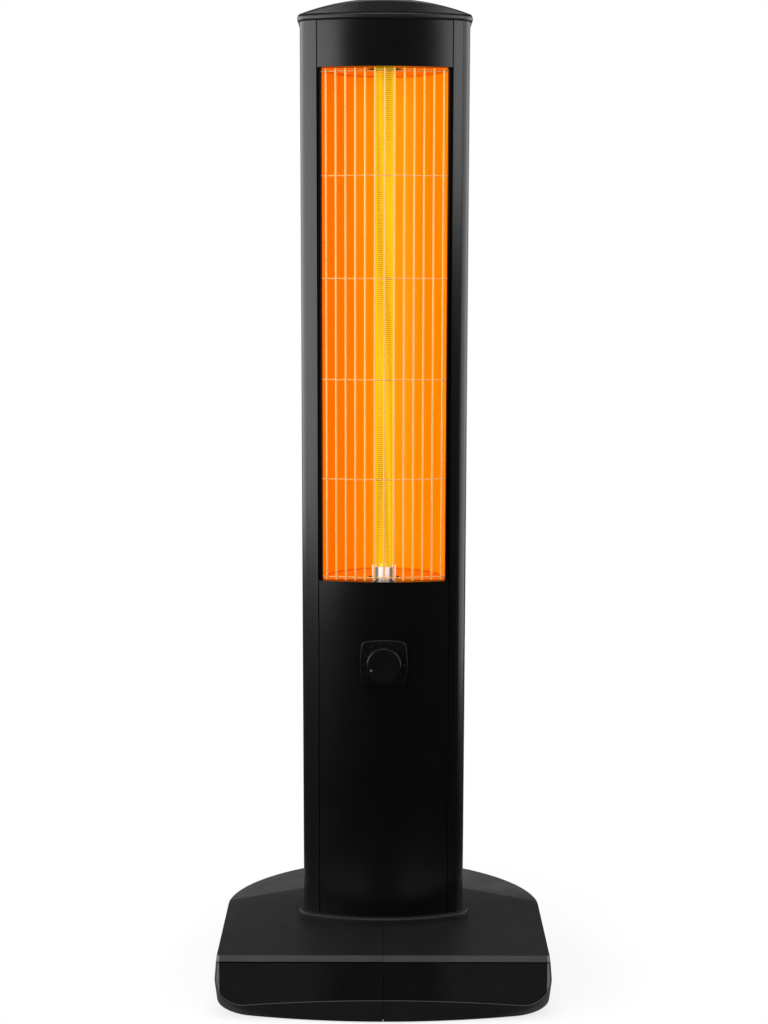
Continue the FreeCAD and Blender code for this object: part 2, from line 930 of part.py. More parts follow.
def control_knob():
    """Hollow round knob with a hub on the flatted shaft."""
    face_middle = Vector(0, knob_front, control_height)
    knob = Part.makeCone(knob_radius - knob_taper, knob_radius, knob_height, face_middle, Vector(0, 1, 0))
    front_rim = [edge for edge in knob.Edges if edge.BoundBox.YMax < knob_front + touch]
    knob = knob.makeFillet(knob_edge_round, front_rim)
    hollow = stud(knob_radius - knob_skirt, 0, control_height, knob_front + knob_face, knob_back + overrun)
    hub = stud(hub_radius, 0, control_height, knob_front + knob_face, knob_back - hub_setback)
    knob = joined(knob.cut(hollow), [hub])
    bore_end = knob_front + knob_face - shaft_tip_gap
    knob = knob.cut(flatted_bar(shaft_radius + shaft_clearance, shaft_flat + shaft_clearance, bore_end, 0))
    dish_sphere = (knob_dish_radius ** 2 + knob_dish_depth ** 2) / (2 * knob_dish_depth)
    dish_middle = Vector(0, knob_front + knob_dish_depth - dish_sphere, control_height)
    knob = knob.cut(Part.makeSphere(dish_sphere, dish_middle))
    return knob.cut(pointer_bar(overrun))


def pointer_bar(front_margin):
    """Bar at the pointer's place, from the knob's face inwards."""
    angle = math.radians(pointer_angle)
    x = pointer_place * math.cos(angle)
    z = control_height + pointer_place * math.sin(angle)
    return stud(pointer_radius, x, z, knob_front - front_margin, knob_front + pointer_depth)


def knob_pointer():
    """Light dot let into the knob's face."""
    return pointer_bar(0)


def thermostat_shaft():
    """Flatted shaft from the thermostat to the knob."""
    tip = knob_front + knob_face
    inner = thermostat_front + shaft_inside - shaft_tip_gap
    flatted = flatted_bar(shaft_radius, shaft_flat, tip, -tower_front - bush_proud)
    return joined(flatted, [stud(shaft_radius, 0, control_height, -tower_front - bush_proud, inner)])


def thermostat_body():
    """Thermostat block with its round bush and two rear tabs."""
    half = thermostat_half
    low = control_height - half
    block = box(-half, half, thermostat_front, thermostat_rear, low, control_height + half)
    bush = stud(bush_radius, 0, control_height, -tower_front - bush_proud, thermostat_front + overrun)
    shoulder = stud(bezel_recess_radius, 0, control_height, panel_back, thermostat_front + overrun)
    shoulder = shoulder.common(tower_prism(-tower_wall, low, control_height + half))
    tabs = []
    for side in (-1, 1):
        x = side * tab_spread
        tab = box(
            x - tab_half_width, x + tab_half_width, thermostat_rear - overrun, thermostat_rear + tab_length,
            control_height - tab_half_sheet, control_height + tab_half_sheet
        )
        tabs.append(tab)
    body = joined(block, [bush, shoulder] + tabs)
    shaft_end = thermostat_front + shaft_inside
    return body.cut(stud(shaft_radius + shaft_clearance, 0, control_height, -reach, shaft_end))


def thermostat_nut():
    """Six-sided nut in the bezel's dish."""
    corner = nut_half_flats / math.cos(math.pi / 6)
    back = -tower_front - nut_floor
    points = []
    for index in range(7):
        angle = index * math.pi / 3
        points.append(Vector(corner * math.cos(angle), back, control_height + corner * math.sin(angle)))
    blank = Part.Face(Part.makePolygon(points)).extrude(Vector(0, -nut_height, 0))
    return blank.cut(stud(bush_radius, 0, control_height, -reach, 0))


def thermal_cutout():
    """Round cut-out on the underside of the bottom end plate, with one tab each side."""
    low = lower_plate_face - cutout_height
    body = post(cutout_radius, cutout_x, cutout_y, low, lower_plate_face)
    tab = box(
        cutout_x - tab_half_sheet, cutout_x + tab_half_sheet, cutout_y - cutout_radius - tab_length,
        cutout_y + cutout_radius + tab_length, low, low + 2 * tab_half_width
    )
    return joined(body, [tab])


def terminal_block():
    """Screw terminal block on the inside of the back panel."""
    top = block_bottom + block_height
    front = back_inside - block_depth
    block = box(-block_half_width, block_half_width, front, back_inside, block_bottom, top)
    middle = back_inside - block_depth / 2
    for index in range(block_poles):
        x = (index - (block_poles - 1) / 2) * block_pitch
        block = block.cut(post(block_bore, x, middle, block_bottom - overrun, top + overrun))
        block = block.cut(stud(block_bore, x, block_bottom + block_height / 2, 0, middle))
    return block


def cable_gland():
    """Inlet bush in the back panel, with its nut inside."""
    flange = stud(gland_flange_radius, 0, gland_height, tower_rear, tower_rear + gland_flange)
    stub = stud(gland_neck_radius, 0, gland_height, tower_rear, tower_rear + gland_stub)
    stub_end = [edge for edge in stub.Edges if edge.BoundBox.YMin > tower_rear + gland_stub - touch]
    stub = stub.makeFillet(least_round, stub_end)
    neck = stud(gland_neck_radius, 0, gland_height, back_inside - gland_nut_height, tower_rear)
    nut = stud(gland_nut_radius, 0, gland_height, back_inside - gland_nut_height, back_inside)
    gland = joined(flange, [stub, neck, nut])
    return gland.cut(stud(gland_bore, 0, gland_height, 0, reach))


# Lead wires

def lead(points):
    """Lead wire along straight runs joined by arcs as large as the runs allow."""
    edges = []
    start = points[0]
    share = 0.45
    for before, corner, after in zip(points, points[1:], points[2:]):
        back = before - corner
        ahead = after - corner
        trim = share * min(back.Length, ahead.Length)
        arc_start = corner + back.normalize() * trim
        arc_end = corner + ahead.normalize() * trim
        edges.append(line(start, arc_start))
        edges.append(tangent_arc(arc_start, corner, arc_end))
        start = arc_end
    edges.append(line(start, points[-1]))
    ring = Part.Wire([Part.makeCircle(lead_radius, points[0], points[1] - points[0])])
    return Part.Wire(edges).makePipeShell([ring], True, False)


def tab_end(side):
    """Point just behind one of the thermostat's tabs."""
    return Vector(side * tab_spread, thermostat_rear + tab_length + lead_end_gap, control_height)


def cutout_end(side):
    """Point just past one of the cut-out's tabs."""
    y = cutout_y + side * (cutout_radius + tab_length + lead_end_gap)
    return Vector(cutout_x, y, lower_plate_face - cutout_height + tab_half_width)


def block_top(pole):
    """Point just inside one of the terminal block's poles."""
    x = (pole - (block_poles - 1) / 2) * block_pitch
    return Vector(x, back_inside - block_depth / 2, block_bottom + block_height - block_bore)


def lower_lead():
    """Lead from the lower terminal pin to the cut-out."""
    pin_tip = Vector(0, tube_axis, lower_plate_face - pin_end - lead_end_gap)
    tab = cutout_end(1)
    return lead([
        pin_tip,
        pin_tip + Vector(0, 0, -lead_stub),
        Vector(cutout_x / 2, tab.y + lead_bend, pin_tip.z - lead_slack),
        Vector(tab.x, tab.y + lead_bend, tab.z - lead_bend),
        tab + Vector(0, lead_stub, 0),
        tab,
    ])


def cutout_lead():
    """Lead from the cut-out to the thermostat."""
    tab = cutout_end(-1)
    end = tab_end(1)
    return lead([
        tab,
        tab + Vector(0, -lead_slack, 0),
        tab + Vector(0, -lead_slack, -lead_bend),
        Vector(tab.x - lead_slack, end.y + lead_slack, end.z + lead_drop),
        end + Vector(lead_stub, lead_bend, lead_slack),
        end + Vector(0, lead_stub, 0),
        end,
    ])


def thermostat_lead():
    """Lead from the thermostat to the terminal block."""
    start = tab_end(-1)
    end = block_top(0)
    return lead([
        start,
        start + Vector(0, lead_bend, 0),
        Vector(start.x, end.y - lead_bend, start.z - lead_drop),
        end + Vector(0, -lead_slack, lead_drop),
        end + Vector(0, 0, lead_bend),
        end,
    ])


def upper_lead():
    """Lead from the upper terminal pin, down behind the reflector, to the terminal block."""
    pin_tip = Vector(0, tube_axis, upper_plate_face + pin_end + lead_end_gap)
    end = block_top(2)
    behind = (reflector_axis + reflector_radius + back_inside) / 2
    return lead([
        pin_tip,
        pin_tip + Vector(0, 0, lead_stub),
        Vector(end.x / 2, 0, pin_tip.z + lead_bend),
        Vector(end.x, behind, pin_tip.z - lead_slack),
        Vector(end.x, behind, end.z + lead_drop),
        end + Vector(0, 0, lead_bend),
        end,
    ])


# Base

def rounded_end(half_width, apex, arc_radius, corner_radius):
    """Points of one rounded end of the base: side start, corner crest and tangent point, as x and y."""
    arc_centre = apex - arc_radius
    centre_x = half_width - corner_radius
    centre_y = arc_centre + math.sqrt((arc_radius - corner_radius) ** 2 - centre_x ** 2)
    tangent_angle = math.atan2(centre_y - arc_centre, centre_x)
    crest_x = centre_x + corner_radius * math.cos(tangent_angle / 2)
    crest_y = centre_y + corner_radius * math.sin(tangent_angle / 2)
    tangent = (arc_radius * math.cos(tangent_angle), arc_centre + arc_radius * math.sin(tangent_angle))
    return (half_width, centre_y), (crest_x, crest_y), tangent


def end_edges(half_width, apex, arc_radius, corner_radius, way, z):
    """Right corner, middle arc and left corner of one end of the base, each from right to left."""
    side, crest, tangent = rounded_end(half_width, apex, arc_radius, corner_radius)
    right = [Vector(x, way * y, z) for x, y in (side, crest, tangent)]
    left = [Vector(-point.x, point.y, z) for point in reversed(right)]
    middle = arc(right[2], Vector(0, way * apex, z), left[0])
    return [arc(*right), middle, arc(*left)]


def base_end(inset, way, z):
    """Edges of the base's front or rear end, drawn in by inset."""
    if way < 0:
        sizes = (base_front, base_front_radius, base_front_corner)
    else:
        sizes = (base_rear, base_rear_radius, base_rear_corner)
    return end_edges(base_half_width - inset, *[size - inset for size in sizes], way, z)


def base_outline(inset, z):
    """Closed floor outline of the base, drawn in by inset."""
    front = base_end(inset, -1, z)
    rear = base_end(inset, 1, z)
    right = line(front[0].firstVertex().Point, rear[0].firstVertex().Point)
    left = line(front[2].lastVertex().Point, rear[2].lastVertex().Point)
    return Part.Wire(Part.__sortEdges__(front + rear + [right, left]))


def side_x(z):
    """Half width of the drafted base at a height."""
    return base_half_width - base_draft * (z - skirt_bottom)


def face_edges(top):
    """Right side, right corner, sill, left corner and left side of the flat front face, right to left."""
    y = -face_front
    corner_z = face_sill + face_corner
    start = Vector(side_x(corner_z), y, corner_z)
    middle_x = start.x - face_corner
    lean = face_corner * math.sqrt(0.5)
    crest = Vector(middle_x + lean, y, corner_z - lean)
    end = Vector(middle_x, y, face_sill)
    right = [start, crest, end]
    left = [Vector(-point.x, y, point.z) for point in reversed(right)]
    sill = arc(end, Vector(0, y, face_sill + face_sill_rise), left[0])
    top_right = Vector(side_x(top), y, top)
    top_left = Vector(-side_x(top), y, top)
    return [line(top_right, start), arc(*right), sill, arc(*left), line(left[2], top_left)]


def front_face(top):
    """Flat front face of the base up to a height."""
    edges = face_edges(top)
    closing = line(edges[4].lastVertex().Point, edges[0].firstVertex().Point)
    return Part.Face(Part.Wire(edges + [closing]))


def base_side(way, front_points, floor_front, floor_rear, top_rear):
    """Flat drafted side wall."""
    points = front_points + [floor_front, floor_rear, top_rear]
    points = [Vector(way * point.x, point.y, point.z) for point in points]
    return Part.Face(Part.makePolygon(points + [points[0]]))


def base_blank():
    """Base body before its top is cut: flat front face, undercut lip and drafted walls."""
    top = base_blank_top
    top_inset = base_half_width - side_x(top)
    face = face_edges(top)
    floor_front = base_end(0, -1, skirt_bottom)
    floor_rear = base_end(0, 1, skirt_bottom)
    top_rear = base_end(top_inset, 1, top)
    faces = [front_face(top), Part.Face(base_outline(0, skirt_bottom))]
    faces += [Part.makeRuledSurface(face[1 + index], floor_front[index]) for index in range(3)]
    faces += [Part.makeRuledSurface(floor_rear[index], top_rear[index]) for index in range(3)]
    front_points = [face[0].firstVertex().Point, face[0].lastVertex().Point]
    corners = [edges[0].firstVertex().Point for edges in (floor_front, floor_rear, top_rear)]
    faces += [base_side(way, front_points, *corners) for way in (1, -1)]
    right = line(front_points[0], corners[2])
    left = line(top_rear[2].lastVertex().Point, face[4].lastVertex().Point)
    front = line(face[4].lastVertex().Point, front_points[0])
    faces.append(Part.Face(Part.Wire([right] + top_rear + [left, front])))
    shell = Part.makeShell(faces)
    shell.sewShape()
    blank = Part.makeSolid(shell)
    if blank.Volume < 0:
        blank.reverse()
    return blank


def deck_z(y):
    """Height of the sloping deck at a depth."""
    return face_top + bevel_rise + deck_slope * (y + face_front - bevel_run)


def strip_cutter(y0, z0, y1, z1):
    """Cutter above a line in the side view, over the whole width."""
    points = [Vector(-reach, y, z) for y, z in ((y0, z0), (y1, z1), (y1, reach), (y0, reach))]
    return Part.Face(Part.makePolygon(points + [points[0]])).extrude(Vector(2 * reach, 0, 0))


def facet_cutter(way):
    """Cutter above one of the facets that fall away behind the deck's crease."""
    outer = Vector(side_x(deck_z(crease_side_y)), crease_side_y, deck_z(crease_side_y))
    inner = Vector(crease_inner_x, crease_inner_y, deck_z(crease_inner_y))
    low = Vector(facet_low_x, facet_low_y, facet_low_z)
    normal = (outer - inner).cross(low - inner)
    points = []
    for x, y in ((-reach, -reach), (reach, -reach), (reach, reach), (-reach, reach)):
        z = inner.z - (normal.x * (x - inner.x) + normal.y * (y - inner.y)) / normal.z
        points.append(Vector(way * x, y, z))
    return Part.Face(Part.makePolygon(points + [points[0]])).extrude(Vector(0, 0, reach))


def top_cutters(drop):
    """Cutters above the bevel strip, the deck and the rear facets, all lowered by drop."""
    bevel_y = bevel_run - face_front
    bevel_gradient = bevel_rise / bevel_run
    bevel_start = face_top - overrun * bevel_gradient
    cutters = [
        strip_cutter(-face_front - overrun, bevel_start, bevel_y, deck_z(bevel_y)),
        strip_cutter(bevel_y, deck_z(bevel_y), reach, deck_z(reach)),
        facet_cutter(1),
        facet_cutter(-1),
    ]
    for cutter in cutters:
        cutter.translate(Vector(0, 0, -drop))
    return cutters


def base_body():
    """Closed outer form of both base halves."""
    return base_blank().cut(top_cutters(0))


def base_cavity(gap):
    """Hollow of the base, open to the floor and drawn in by gap."""
    top = base_blank_top
    inset = cavity_inset + gap
    low = base_outline(inset, skirt_bottom)
    high = base_outline(inset + base_half_width - side_x(top), top)
    cavity = Part.makeLoft([low, high], True, True)
    opening = Part.Face(low).extrude(Vector(0, 0, -overrun))
    return cavity.fuse(opening).cut(top_cutters(base_wall + gap))


def socket():
    """Walls round the tower's foot and the ledge under its bottom plate."""
    ledge_top = tower_foot - bottom_plate
    low = ledge_top - socket_ledge
    outer = tower_prism(socket_clearance + socket_wall, low, base_blank_top)
    inner = tower_prism(socket_clearance, ledge_top, base_blank_top + overrun)
    opening = tower_prism(-socket_ledge_inset, low - overrun, base_blank_top)
    return outer.cut(inner).cut(opening)


def joint_boss_places():
    """Middles of the bosses in front of and behind the socket."""
    front = -tower_front - socket_clearance - socket_wall - joint_boss_depth / 2 + overrun
    rear = tower_rear + socket_clearance + socket_wall + joint_boss_depth / 2 - overrun
    return (front, rear)


def joint_boss(y):
    """Block that straddles the seam."""
    half = joint_boss_depth / 2
    top = joint_boss_bottom + joint_boss_height
    return box(-joint_boss_half, joint_boss_half, y - half, y + half, joint_boss_bottom, top)


def foot_points():
    """Middles of all the feet."""
    return [(side * x, y) for side in (-1, 1) for x, y in foot_places]


def switch_boss_solid():
    """Boss under the deck that carries the tip-over switch."""
    return post(switch_boss_radius, switch_x, switch_y, switch_top, base_blank_top)


def base_inside(body):
    """Ribs, bosses and socket inside the base's shell."""
    pieces = [socket(), switch_boss_solid()]
    socket_side = tower_width / 2 + socket_clearance + socket_wall / 2
    for y in rib_places:
        for side in (-1, 1):
            ends = sorted((side * socket_side, side * base_half_width))
            rib_front = y - rib_wall / 2
            pieces.append(box(*ends, rib_front, rib_front + rib_wall, rib_bottom, base_blank_top))
    pieces += [post(foot_boss_radius, x, y, skirt_bottom, base_blank_top) for x, y in foot_points()]
    pieces += [joint_boss(y) for y in joint_boss_places()]
    return [piece.common(body) for piece in pieces]


def right_of_seam():
    """Everything to the right of the seam."""
    return box(half_seam, reach, -reach, reach, 0, reach)


def inlay_face(gap):
    """Outline of the right front inlay, drawn in from its recess by gap."""
    return front_face(face_top).makeOffset2D(-inlay_rim - gap).common(right_of_seam())


def inlay_recess():
    """Cutter for the right inlay's recess, open at the seam, with a chamfered mouth."""
    wide = front_face(face_top).makeOffset2D(inlay_rim_chamfer - inlay_rim).OuterWire
    narrow = front_face(face_top).makeOffset2D(-inlay_rim).OuterWire
    narrow.translate(Vector(0, inlay_rim_chamfer, 0))
    mouth = Part.makeLoft([wide, narrow], True, True).common(right_of_seam())
    return inlay_face(0).extrude(Vector(0, inlay_depth, 0)).fuse(mouth)


def base_right_half():
    """Right half of the base with its recess, ribs, socket and bosses."""
    body = base_body()
    shell = body.cut(base_cavity(0))
    shell = joined(shell, base_inside(body))
    ledge_top = tower_foot - bottom_plate
    shell = shell.cut(tower_prism(socket_clearance, ledge_top, reach))
    half = shell.common(box(0, reach, -reach, reach, 0, reach))
    seam = box(0, half_seam, -reach, reach, 0, reach)
    for y in joint_boss_places():
        seam = seam.cut(joint_boss(y))
    half = half.cut(seam).cut(inlay_recess())
    for y in channel_places:
        half = half.cut(post(screw_head_radius + socket_clearance, channel_x, y, skirt_bottom, ledge_top))
    for x, y in foot_points():
        stem_top = skirt_bottom + foot_stem_length
        half = half.cut(post(foot_stem_radius + foot_stem_clearance, x, y, skirt_bottom, stem_top))
    for y in joint_boss_places():
        z = joint_boss_bottom + joint_boss_height / 2
        half = half.cut(bar(joint_screw_radius + screw_clearance, y, z, 0, joint_boss_half + overrun))
    return half


def seam_lip():
    """Lip of the left half that closes the seam behind the right half's front wall and deck."""
    inside = base_cavity(seam_lip_gap + seam_lip_wall)
    rear = joint_boss_places()[0] - joint_boss_depth / 2 - overrun
    right = box(-half_seam, seam_lip_reach, -reach, rear, skirt_bottom, reach)
    left = box(-seam_lip_reach, -half_seam, -reach, rear, skirt_bottom, reach)
    lip = base_cavity(seam_lip_gap).cut(inside).common(right)
    root = base_cavity(0).cut(inside).common(left)
    return joined(root, [lip])


def base_left_half():
    """Mirror of the right half with the seam's lip, without the boss that carries the switch."""
    clear = post(switch_boss_radius, switch_x, switch_y, switch_top - overrun, deck_z(switch_y) - base_wall)
    half = mirrored(base_right_half().cut(clear.common(base_cavity(0))))
    return joined(half, [seam_lip()])


def right_front_inlay():
    """Glossy plate in the right half's recess."""
    return inlay_face(inlay_gap).extrude(Vector(0, inlay_depth, 0))


def left_front_inlay():
    """Glossy plate in the left half's recess."""
    return mirrored(right_front_inlay())


def tower_collar():
    """One-piece roll on the deck, round the front of the tower's foot."""
    ring = tower_prism(collar_gap + collar_width, skirt_bottom, base_blank_top + 2 * collar_height)
    front = -tower_front - collar_width
    above = strip_cutter(front - overrun, deck_z(front - overrun) + collar_height, reach,
                         deck_z(reach) + collar_height)
    ring = ring.cut(above).cut(box(-reach, reach, collar_end, reach, 0, reach))
    rim = [edge for edge in ring.Edges if edge.BoundBox.ZMin > deck_z(front) + touch]
    rim += upright_edges(ring, collar_end - touch, collar_end + touch)
    ring = ring.makeFillet(collar_round, rim)
    ring = ring.cut(tower_prism(collar_gap, 0, reach))
    deck, *facets = top_cutters(0)[1:]
    return ring.common(joined(deck, facets))


def base_joining_screws():
    """Screws across the seam, from the right half into the left."""
    one = screw(joint_screw_radius, joint_screw_head, joint_screw_length)
    one = turned(one, Vector(0, 1, 0), 90)
    z = joint_boss_bottom + joint_boss_height / 2
    return Part.makeCompound([placed(one, joint_boss_half, y, z) for y in joint_boss_places()])


def rubber_feet():
    """Pads under the base, each with a stem in its boss."""
    solids = []
    for x, y in foot_points():
        pad = post(foot_radius, x, y, 0, skirt_bottom)
        pad = pad.makeFillet(skirt_bottom / 4, level_edges(pad, 0))
        stem = post(foot_stem_radius, x, y, skirt_bottom, skirt_bottom + foot_stem_length)
        solids.append(joined(pad, [stem]))
    return Part.makeCompound(solids)


# Tip-over switch

def tip_switch_housing():
    """Switch box under its boss, hollow for the plunger's flange and spring."""
    x0 = switch_x - switch_half_width
    x1 = switch_x + switch_half_width
    case = box(x0, x1, switch_y - switch_half_depth, switch_y + switch_half_depth, switch_bottom, switch_top)
    case = case.makeFillet(least_round, upright_edges(case, -reach, reach))
    case = case.cut(post(switch_bore, switch_x, switch_y, switch_bottom + switch_floor, switch_ceiling))
    hole = plunger_radius + plunger_clearance
    return case.cut(post(hole, switch_x, switch_y, switch_bottom - overrun, switch_bottom + switch_floor))


def tip_switch_plunger():
    """Plunger that the floor holds up, with a flange under the spring."""
    stem = post(plunger_radius, switch_x, switch_y, 0, plunger_flange_low)
    stem = stem.makeFillet(plunger_tip_round, level_edges(stem, 0))
    flange = post(plunger_flange_radius, switch_x, switch_y, plunger_flange_low, plunger_flange_top)
    guide_top = plunger_flange_top + plunger_guide_length
    guide = post(plunger_guide_radius, switch_x, switch_y, plunger_flange_top, guide_top)
    return joined(stem, [flange, guide])


def tip_switch_spring():
    """Spring between the plunger's flange and the switch's roof."""
    low = plunger_flange_top + spring_seat_gap
    high = switch_ceiling - spring_seat_gap
    return winding("tip_switch_spring", switch_x, switch_y, low, high, spring_radius, spring_wire_radius,
                   spring_turns, spring_end_rise)


pieces = (
    left_side_profile, right_side_profile, upper_front_panel, lower_front_panel, back_panel,
    back_panel_screws, top_cap, tower_bottom_plate, tower_screws, reflector, reflector_bottom_plate,
    reflector_top_plate, wire_guard, quartz_tube, heating_coil, lower_tube_sleeve, upper_tube_sleeve,
    lower_ceramic_holder, upper_ceramic_holder, lower_tube_bracket, upper_tube_bracket, bracket_rivets,
    lower_terminal_pin, upper_terminal_pin, knob_bezel, control_knob, knob_pointer, thermostat_body,
    thermostat_shaft, thermostat_nut, thermal_cutout, terminal_block, cable_gland, lower_lead, cutout_lead,
    thermostat_lead, upper_lead, base_left_half, base_right_half, left_front_inlay, right_front_inlay,
    tower_collar, base_joining_screws, rubber_feet, tip_switch_housing, tip_switch_plunger, tip_switch_spring,
)

os.makedirs("parts", exist_ok=True)
for piece in pieces:
    shape = piece()
    state = "valid" if shape.isValid() else "not valid"
    print(piece.__name__, len(shape.Solids), "solids", round(shape.Volume, 1), "mm3", state)
    shape.exportStep("parts/" + piece.__name__ + ".step")
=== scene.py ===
import json
import math

import bmesh
import bpy
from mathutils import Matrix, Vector

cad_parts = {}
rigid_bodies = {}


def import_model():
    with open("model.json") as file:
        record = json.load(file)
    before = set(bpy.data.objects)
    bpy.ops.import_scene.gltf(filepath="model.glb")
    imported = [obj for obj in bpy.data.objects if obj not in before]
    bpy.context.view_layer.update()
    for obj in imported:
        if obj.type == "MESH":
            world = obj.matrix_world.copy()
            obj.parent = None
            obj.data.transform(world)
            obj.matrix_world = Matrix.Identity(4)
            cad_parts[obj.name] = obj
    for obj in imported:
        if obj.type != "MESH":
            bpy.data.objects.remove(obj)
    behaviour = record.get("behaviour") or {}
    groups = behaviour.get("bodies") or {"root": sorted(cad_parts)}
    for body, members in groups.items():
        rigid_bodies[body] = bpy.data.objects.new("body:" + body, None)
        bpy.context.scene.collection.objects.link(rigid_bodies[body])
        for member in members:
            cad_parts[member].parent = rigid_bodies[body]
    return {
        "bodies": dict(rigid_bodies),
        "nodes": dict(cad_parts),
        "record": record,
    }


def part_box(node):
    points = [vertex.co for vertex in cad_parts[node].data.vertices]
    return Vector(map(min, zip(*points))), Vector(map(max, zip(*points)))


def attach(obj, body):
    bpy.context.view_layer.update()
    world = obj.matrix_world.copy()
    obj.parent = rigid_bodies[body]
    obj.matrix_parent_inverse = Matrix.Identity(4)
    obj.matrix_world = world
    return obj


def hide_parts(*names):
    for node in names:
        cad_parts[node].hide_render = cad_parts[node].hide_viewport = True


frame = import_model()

# Only the frame stays from what was open before
kept = set(frame["nodes"].values()) | set(frame["bodies"].values())
for obj in list(bpy.data.objects):
    if obj not in kept:
        bpy.data.objects.remove(obj)

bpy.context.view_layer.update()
nodes = frame["nodes"]
scene = bpy.context.scene
mm = 0.001

# Camera, fitted to the photo: metres and degrees
camera_place = (-0.0005, -1.657, 0.722)
camera_pitch = 7.97
camera_roll = -0.11
camera_lens = 57.02
camera_sensor = 36.0

# Floor: a disc in metres, and levels where one is white
floor_radius = 0.38
floor_rim = 0.97 * floor_radius
floor_fade = 0.22
floor_covered = (0.11, 0.13)
floor_sides = 96
floor_drop = 0.2 * mm
floor_colour = (0.88, 0.88, 0.87, 1.0)
floor_white = 0.72
floor_reflected = 0.35
floor_reflected_middle = 0.10
floor_middle = (0.045, 0.080)

# Background: levels, and the parts of a direction between which they change
white = (1.0, 1.0, 1.0, 1.0)
ambient_level = 0.30
reflected_low = 0.06
reflected_high = 0.18
bright_direction = (-0.55, 1.0, 0.0)
bright_range = (-0.75, -0.25)
ground_range = (-0.19, -0.04)
overhead_range = (0.16, 0.42)

# Softboxes: place, aim, width, height and power in watts
softboxes = {
    "left_softbox": ((-1.00, -1.04, 0.80), (0.0, 0.0, 0.70), 0.95, 1.12, 11.0),
    "left_rim_softbox": ((-1.33, 0.12, 0.85), (0.0, 0.0, 0.75), 1.70, 1.20, 18.5),
    "right_softbox": ((1.00, -1.05, 1.22), (0.0, 0.0, 0.90), 0.55, 0.75, 5.0),
    "right_rim_softbox": ((1.33, 0.0, 0.75), (0.0, 0.0, 0.70), 1.66, 1.50, 18.5),
    "top_softbox": ((0.0, -0.60, 2.25), (0.0, -0.05, 0.0), 1.10, 1.50, 19.0),
}

# Heating coil
coil_pitch = 2.02 * mm
coil_wire = 0.46 * mm
coil_radius = 8.15 * mm
coil_steps = 16
coil_roundness = 2

# Dots on the bezel: clock angles in degrees, and rings as shares of a dot's radius and height
scale_dots = 11
scale_start = -120.0
scale_end = 150.0
scale_radius = 20.6 * mm
dot_radius = 0.5 * mm
dot_height = 0.12 * mm
dot_sides = 20
dot_rings = ((1.0, 0.0), (1.0, 0.6), (0.75, 1.0))

# Half widths at which the profiles' painted shade by the window ends and at which the panels' sheen gives
# way to painted shade at their edges
panel_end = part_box("lower_front_panel")[1].x
jamb_edge = panel_end + 0.2 * mm
panel_edge = panel_end - 0.6 * mm
edge_blur = 0.2 * mm

# Painted shade line between the cap's rim band and its crown: height, half width and soft edge
crown_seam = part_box("top_cap")[1].z - 19.6 * mm
seam_half_width = 0.5 * mm
seam_blur = 0.4 * mm

# Bevel at the front edge of the deck, which gets painted sheen that is dimmer in the middle
inlay_low, inlay_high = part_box("right_front_inlay")
bevel_back = inlay_low.y + 5.4 * mm
bevel_bottom = inlay_high.z + 0.7 * mm
bevel_sheen_half_width = 120 * mm

# Faces of the base are told apart by how far they look up, back or forward, where one is fully
least_upward = 0.3
least_rearward = 0.02
least_forward = 0.5

# Rounded outer ends of the base's front face, as half widths
end_start = inlay_high.x - 3.7 * mm
end_full = inlay_high.x - 3.1 * mm
end_lift = 0.62
end_specular = 1.1
end_roughness = 0.25

# Lengths over which the glow fades: the painted glow into painted shade at the reflector's ends, and the
# coil's glow at its ends
reflector_shade_length = 3.0 * mm
coil_warm_stretch = 18 * mm

# Range in which most of a noise lies, and the width of a dull patch in grains
noise_low = 0.3
noise_high = 0.7
grains_per_patch = 60

# Cool share in the blacks, and the lines on drawn metal: width and depth
coolness = -0.02
drawn_line = 0.25 * mm
drawn_depth = 0.003 * mm

# Edge softening: angles in degrees, and the width on each node
weld_distance = 0.002 * mm
flat_angle = 0.4
sharp_angle = 32.0
edge_segments = 2
soft_edges = {
    "left_side_profile": 0.35 * mm,
    "right_side_profile": 0.35 * mm,
    "upper_front_panel": 0.3 * mm,
    "lower_front_panel": 0.5 * mm,
    "back_panel": 0.3 * mm,
    "top_cap": 0.3 * mm,
    "knob_bezel": 0.45 * mm,
    "control_knob": 0.25 * mm,
    "base_left_half": 0.45 * mm,
    "base_right_half": 0.45 * mm,
    "left_front_inlay": 0.4 * mm,
    "right_front_inlay": 0.4 * mm,
    "tower_collar": 0.3 * mm,
}


